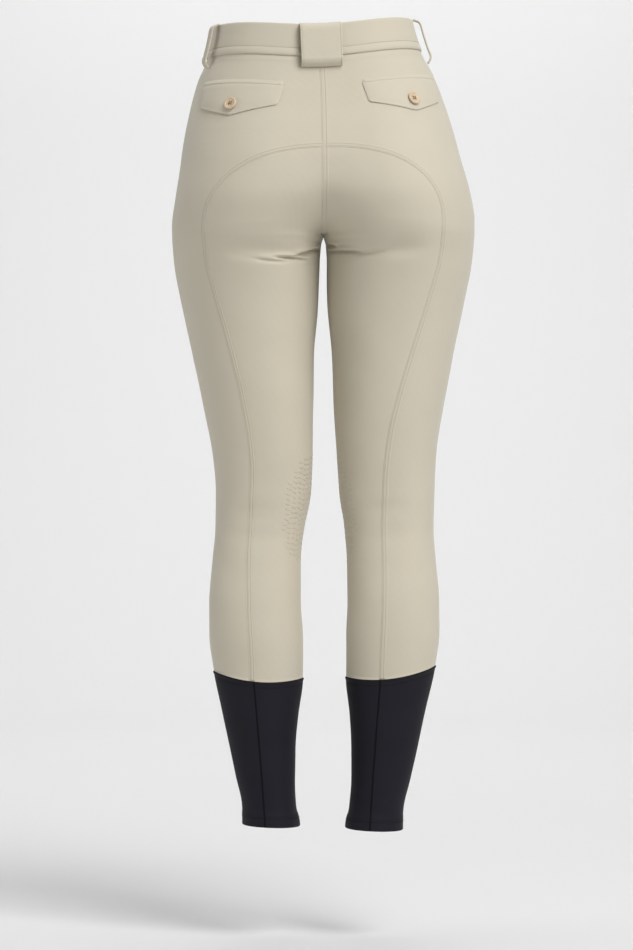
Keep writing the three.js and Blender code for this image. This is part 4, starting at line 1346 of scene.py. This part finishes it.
def make_light(scene, name, place, aim, size, power):
    data = bpy.data.lights.new(name, "AREA")
    data.size = size * MM
    data.energy = power
    lamp = bpy.data.objects.new(name, data)
    scene.collection.objects.link(lamp)
    lamp.location = [v * MM for v in place]
    x, y, z = np.array(aim, dtype=float) - place
    lamp.rotation_euler = (math.atan2(math.hypot(x, y), -z), 0, math.atan2(y, x) - math.pi / 2)


def make_studio():
    """A white floor that sweeps up into a wall, with the camera and the lights."""
    scene = bpy.context.scene
    make_camera(scene)
    world = bpy.data.worlds.new("studio")
    scene.world = world
    world.use_nodes = True
    light = world.node_tree.nodes["Background"]
    light.inputs["Color"].default_value = (1.0, 1.0, 1.0, 1)
    light.inputs["Strength"].default_value = WORLD_STRENGTH

    profile = [(-STUDIO_SIZE, FLOOR), (SWEEP_START, FLOOR)]
    for angle in np.linspace(0, math.pi / 2, SWEEP_STEPS + 1)[1:].tolist():
        y = SWEEP_START + SWEEP_RADIUS * math.sin(angle)
        profile.append((y, FLOOR + SWEEP_RADIUS * (1 - math.cos(angle))))
    profile.append((SWEEP_START + SWEEP_RADIUS, FLOOR + STUDIO_SIZE))
    points = [(x, y, z) for y, z in profile for x in (-STUDIO_SIZE, STUDIO_SIZE)]
    faces = [(2 * k, 2 * k + 1, 2 * k + 3, 2 * k + 2) for k in range(len(profile) - 1)]
    paper = plain_material("studio_paper", BACKDROP_COLOURS, roughness=0.9)
    mesh_object("backdrop", points, faces, paper)
    for row in LIGHTS:
        make_light(scene, *row)
    scene.view_settings.view_transform = "Standard"
    scene.view_settings.look = "None"


# The garment


def declare(piece, node, extras=()):
    """Puts a cloth piece and its extra parts on the frame in place of its solid."""
    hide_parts(node)
    for part in (piece, *extras):
        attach(part, "root")
    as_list(extras)


def make_garment():
    materials = {
        "cloth": cloth_material("breeches_cloth", CLOTH_COLOURS, *CLOTH_FINISH),
        "thread": plain_material("sewing_thread", THREAD_COLOURS, roughness=0.6),
        "cuff": cloth_material("stretch_cuff", CUFF_COLOURS, *CUFF_FINISH),
        "cuff_thread": plain_material("cuff_thread", CUFF_THREAD_COLOURS, roughness=0.8, gloss=0.1),
        "grip": plain_material("grip_print", GRIP_COLOURS, roughness=0.45),
        "button": plain_material("horn_button", BUTTON_COLOURS, roughness=0.32),
        "button_thread": plain_material("button_thread", BUTTON_THREAD_COLOURS, roughness=0.7),
    }
    band, band_parts = make_waistband(materials)
    declare(band, "waistband", band_parts)
    for side, label in ((1, "right"), (-1, "left")):
        front, back, seat = make_panels(side, label, materials["cloth"])
        laps = make_laps(side, label, materials)
        middle = make_middle_laps(materials) if side > 0 else []
        grip = make_grip(side, label, materials["grip"])
        declare(front, f"front_{label}", laps[4:] + middle[2:])
        declare(back, f"back_{label}", laps[:4] + middle[:2])
        declare(seat, f"seat_{label}", [grip])
        cuff, cuff_parts = make_cuff(side, label, materials)
        declare(cuff, f"cuff_{label}", cuff_parts)
        flap, welt = make_pocket(side, label, materials)
        declare(flap, f"pocket_flap_{label}", ())
        declare(welt, f"pocket_welt_{label}", ())
        clear = LAY_GAP + FLAP_WALL + FLAP_LIFT + BUTTON_CLEAR
        height = FLAP_TOP - FLAP_TIP_DROP + BUTTON_ABOVE_TIP
        make_button(f"pocket_button_{label}", side, FLAP_POINT_TURN, height, clear, materials)
    for row in LOOPS:
        loop, sewn = make_loop(*row, materials)
        declare(loop, row[0], [sewn])
    fly, sewn = make_fly(materials)
    declare(fly, "fly", [sewn])
    clear = BAND_WALL * 1.5 + LAY_GAP + BUTTON_CLEAR
    tab_turn = turn_across(WAIST_SEAM / 2, TAB_BUTTON_IN, behind=False)
    make_button("waist_button", -1, tab_turn, WAIST_SEAM / 2, clear, materials)


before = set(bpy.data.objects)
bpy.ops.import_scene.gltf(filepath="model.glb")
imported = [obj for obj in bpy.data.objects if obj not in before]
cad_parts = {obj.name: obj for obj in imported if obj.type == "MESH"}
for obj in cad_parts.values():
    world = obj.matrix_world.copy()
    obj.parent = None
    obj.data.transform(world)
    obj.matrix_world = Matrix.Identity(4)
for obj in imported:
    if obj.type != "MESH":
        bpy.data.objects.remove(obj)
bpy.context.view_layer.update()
make_garment()
make_studio()
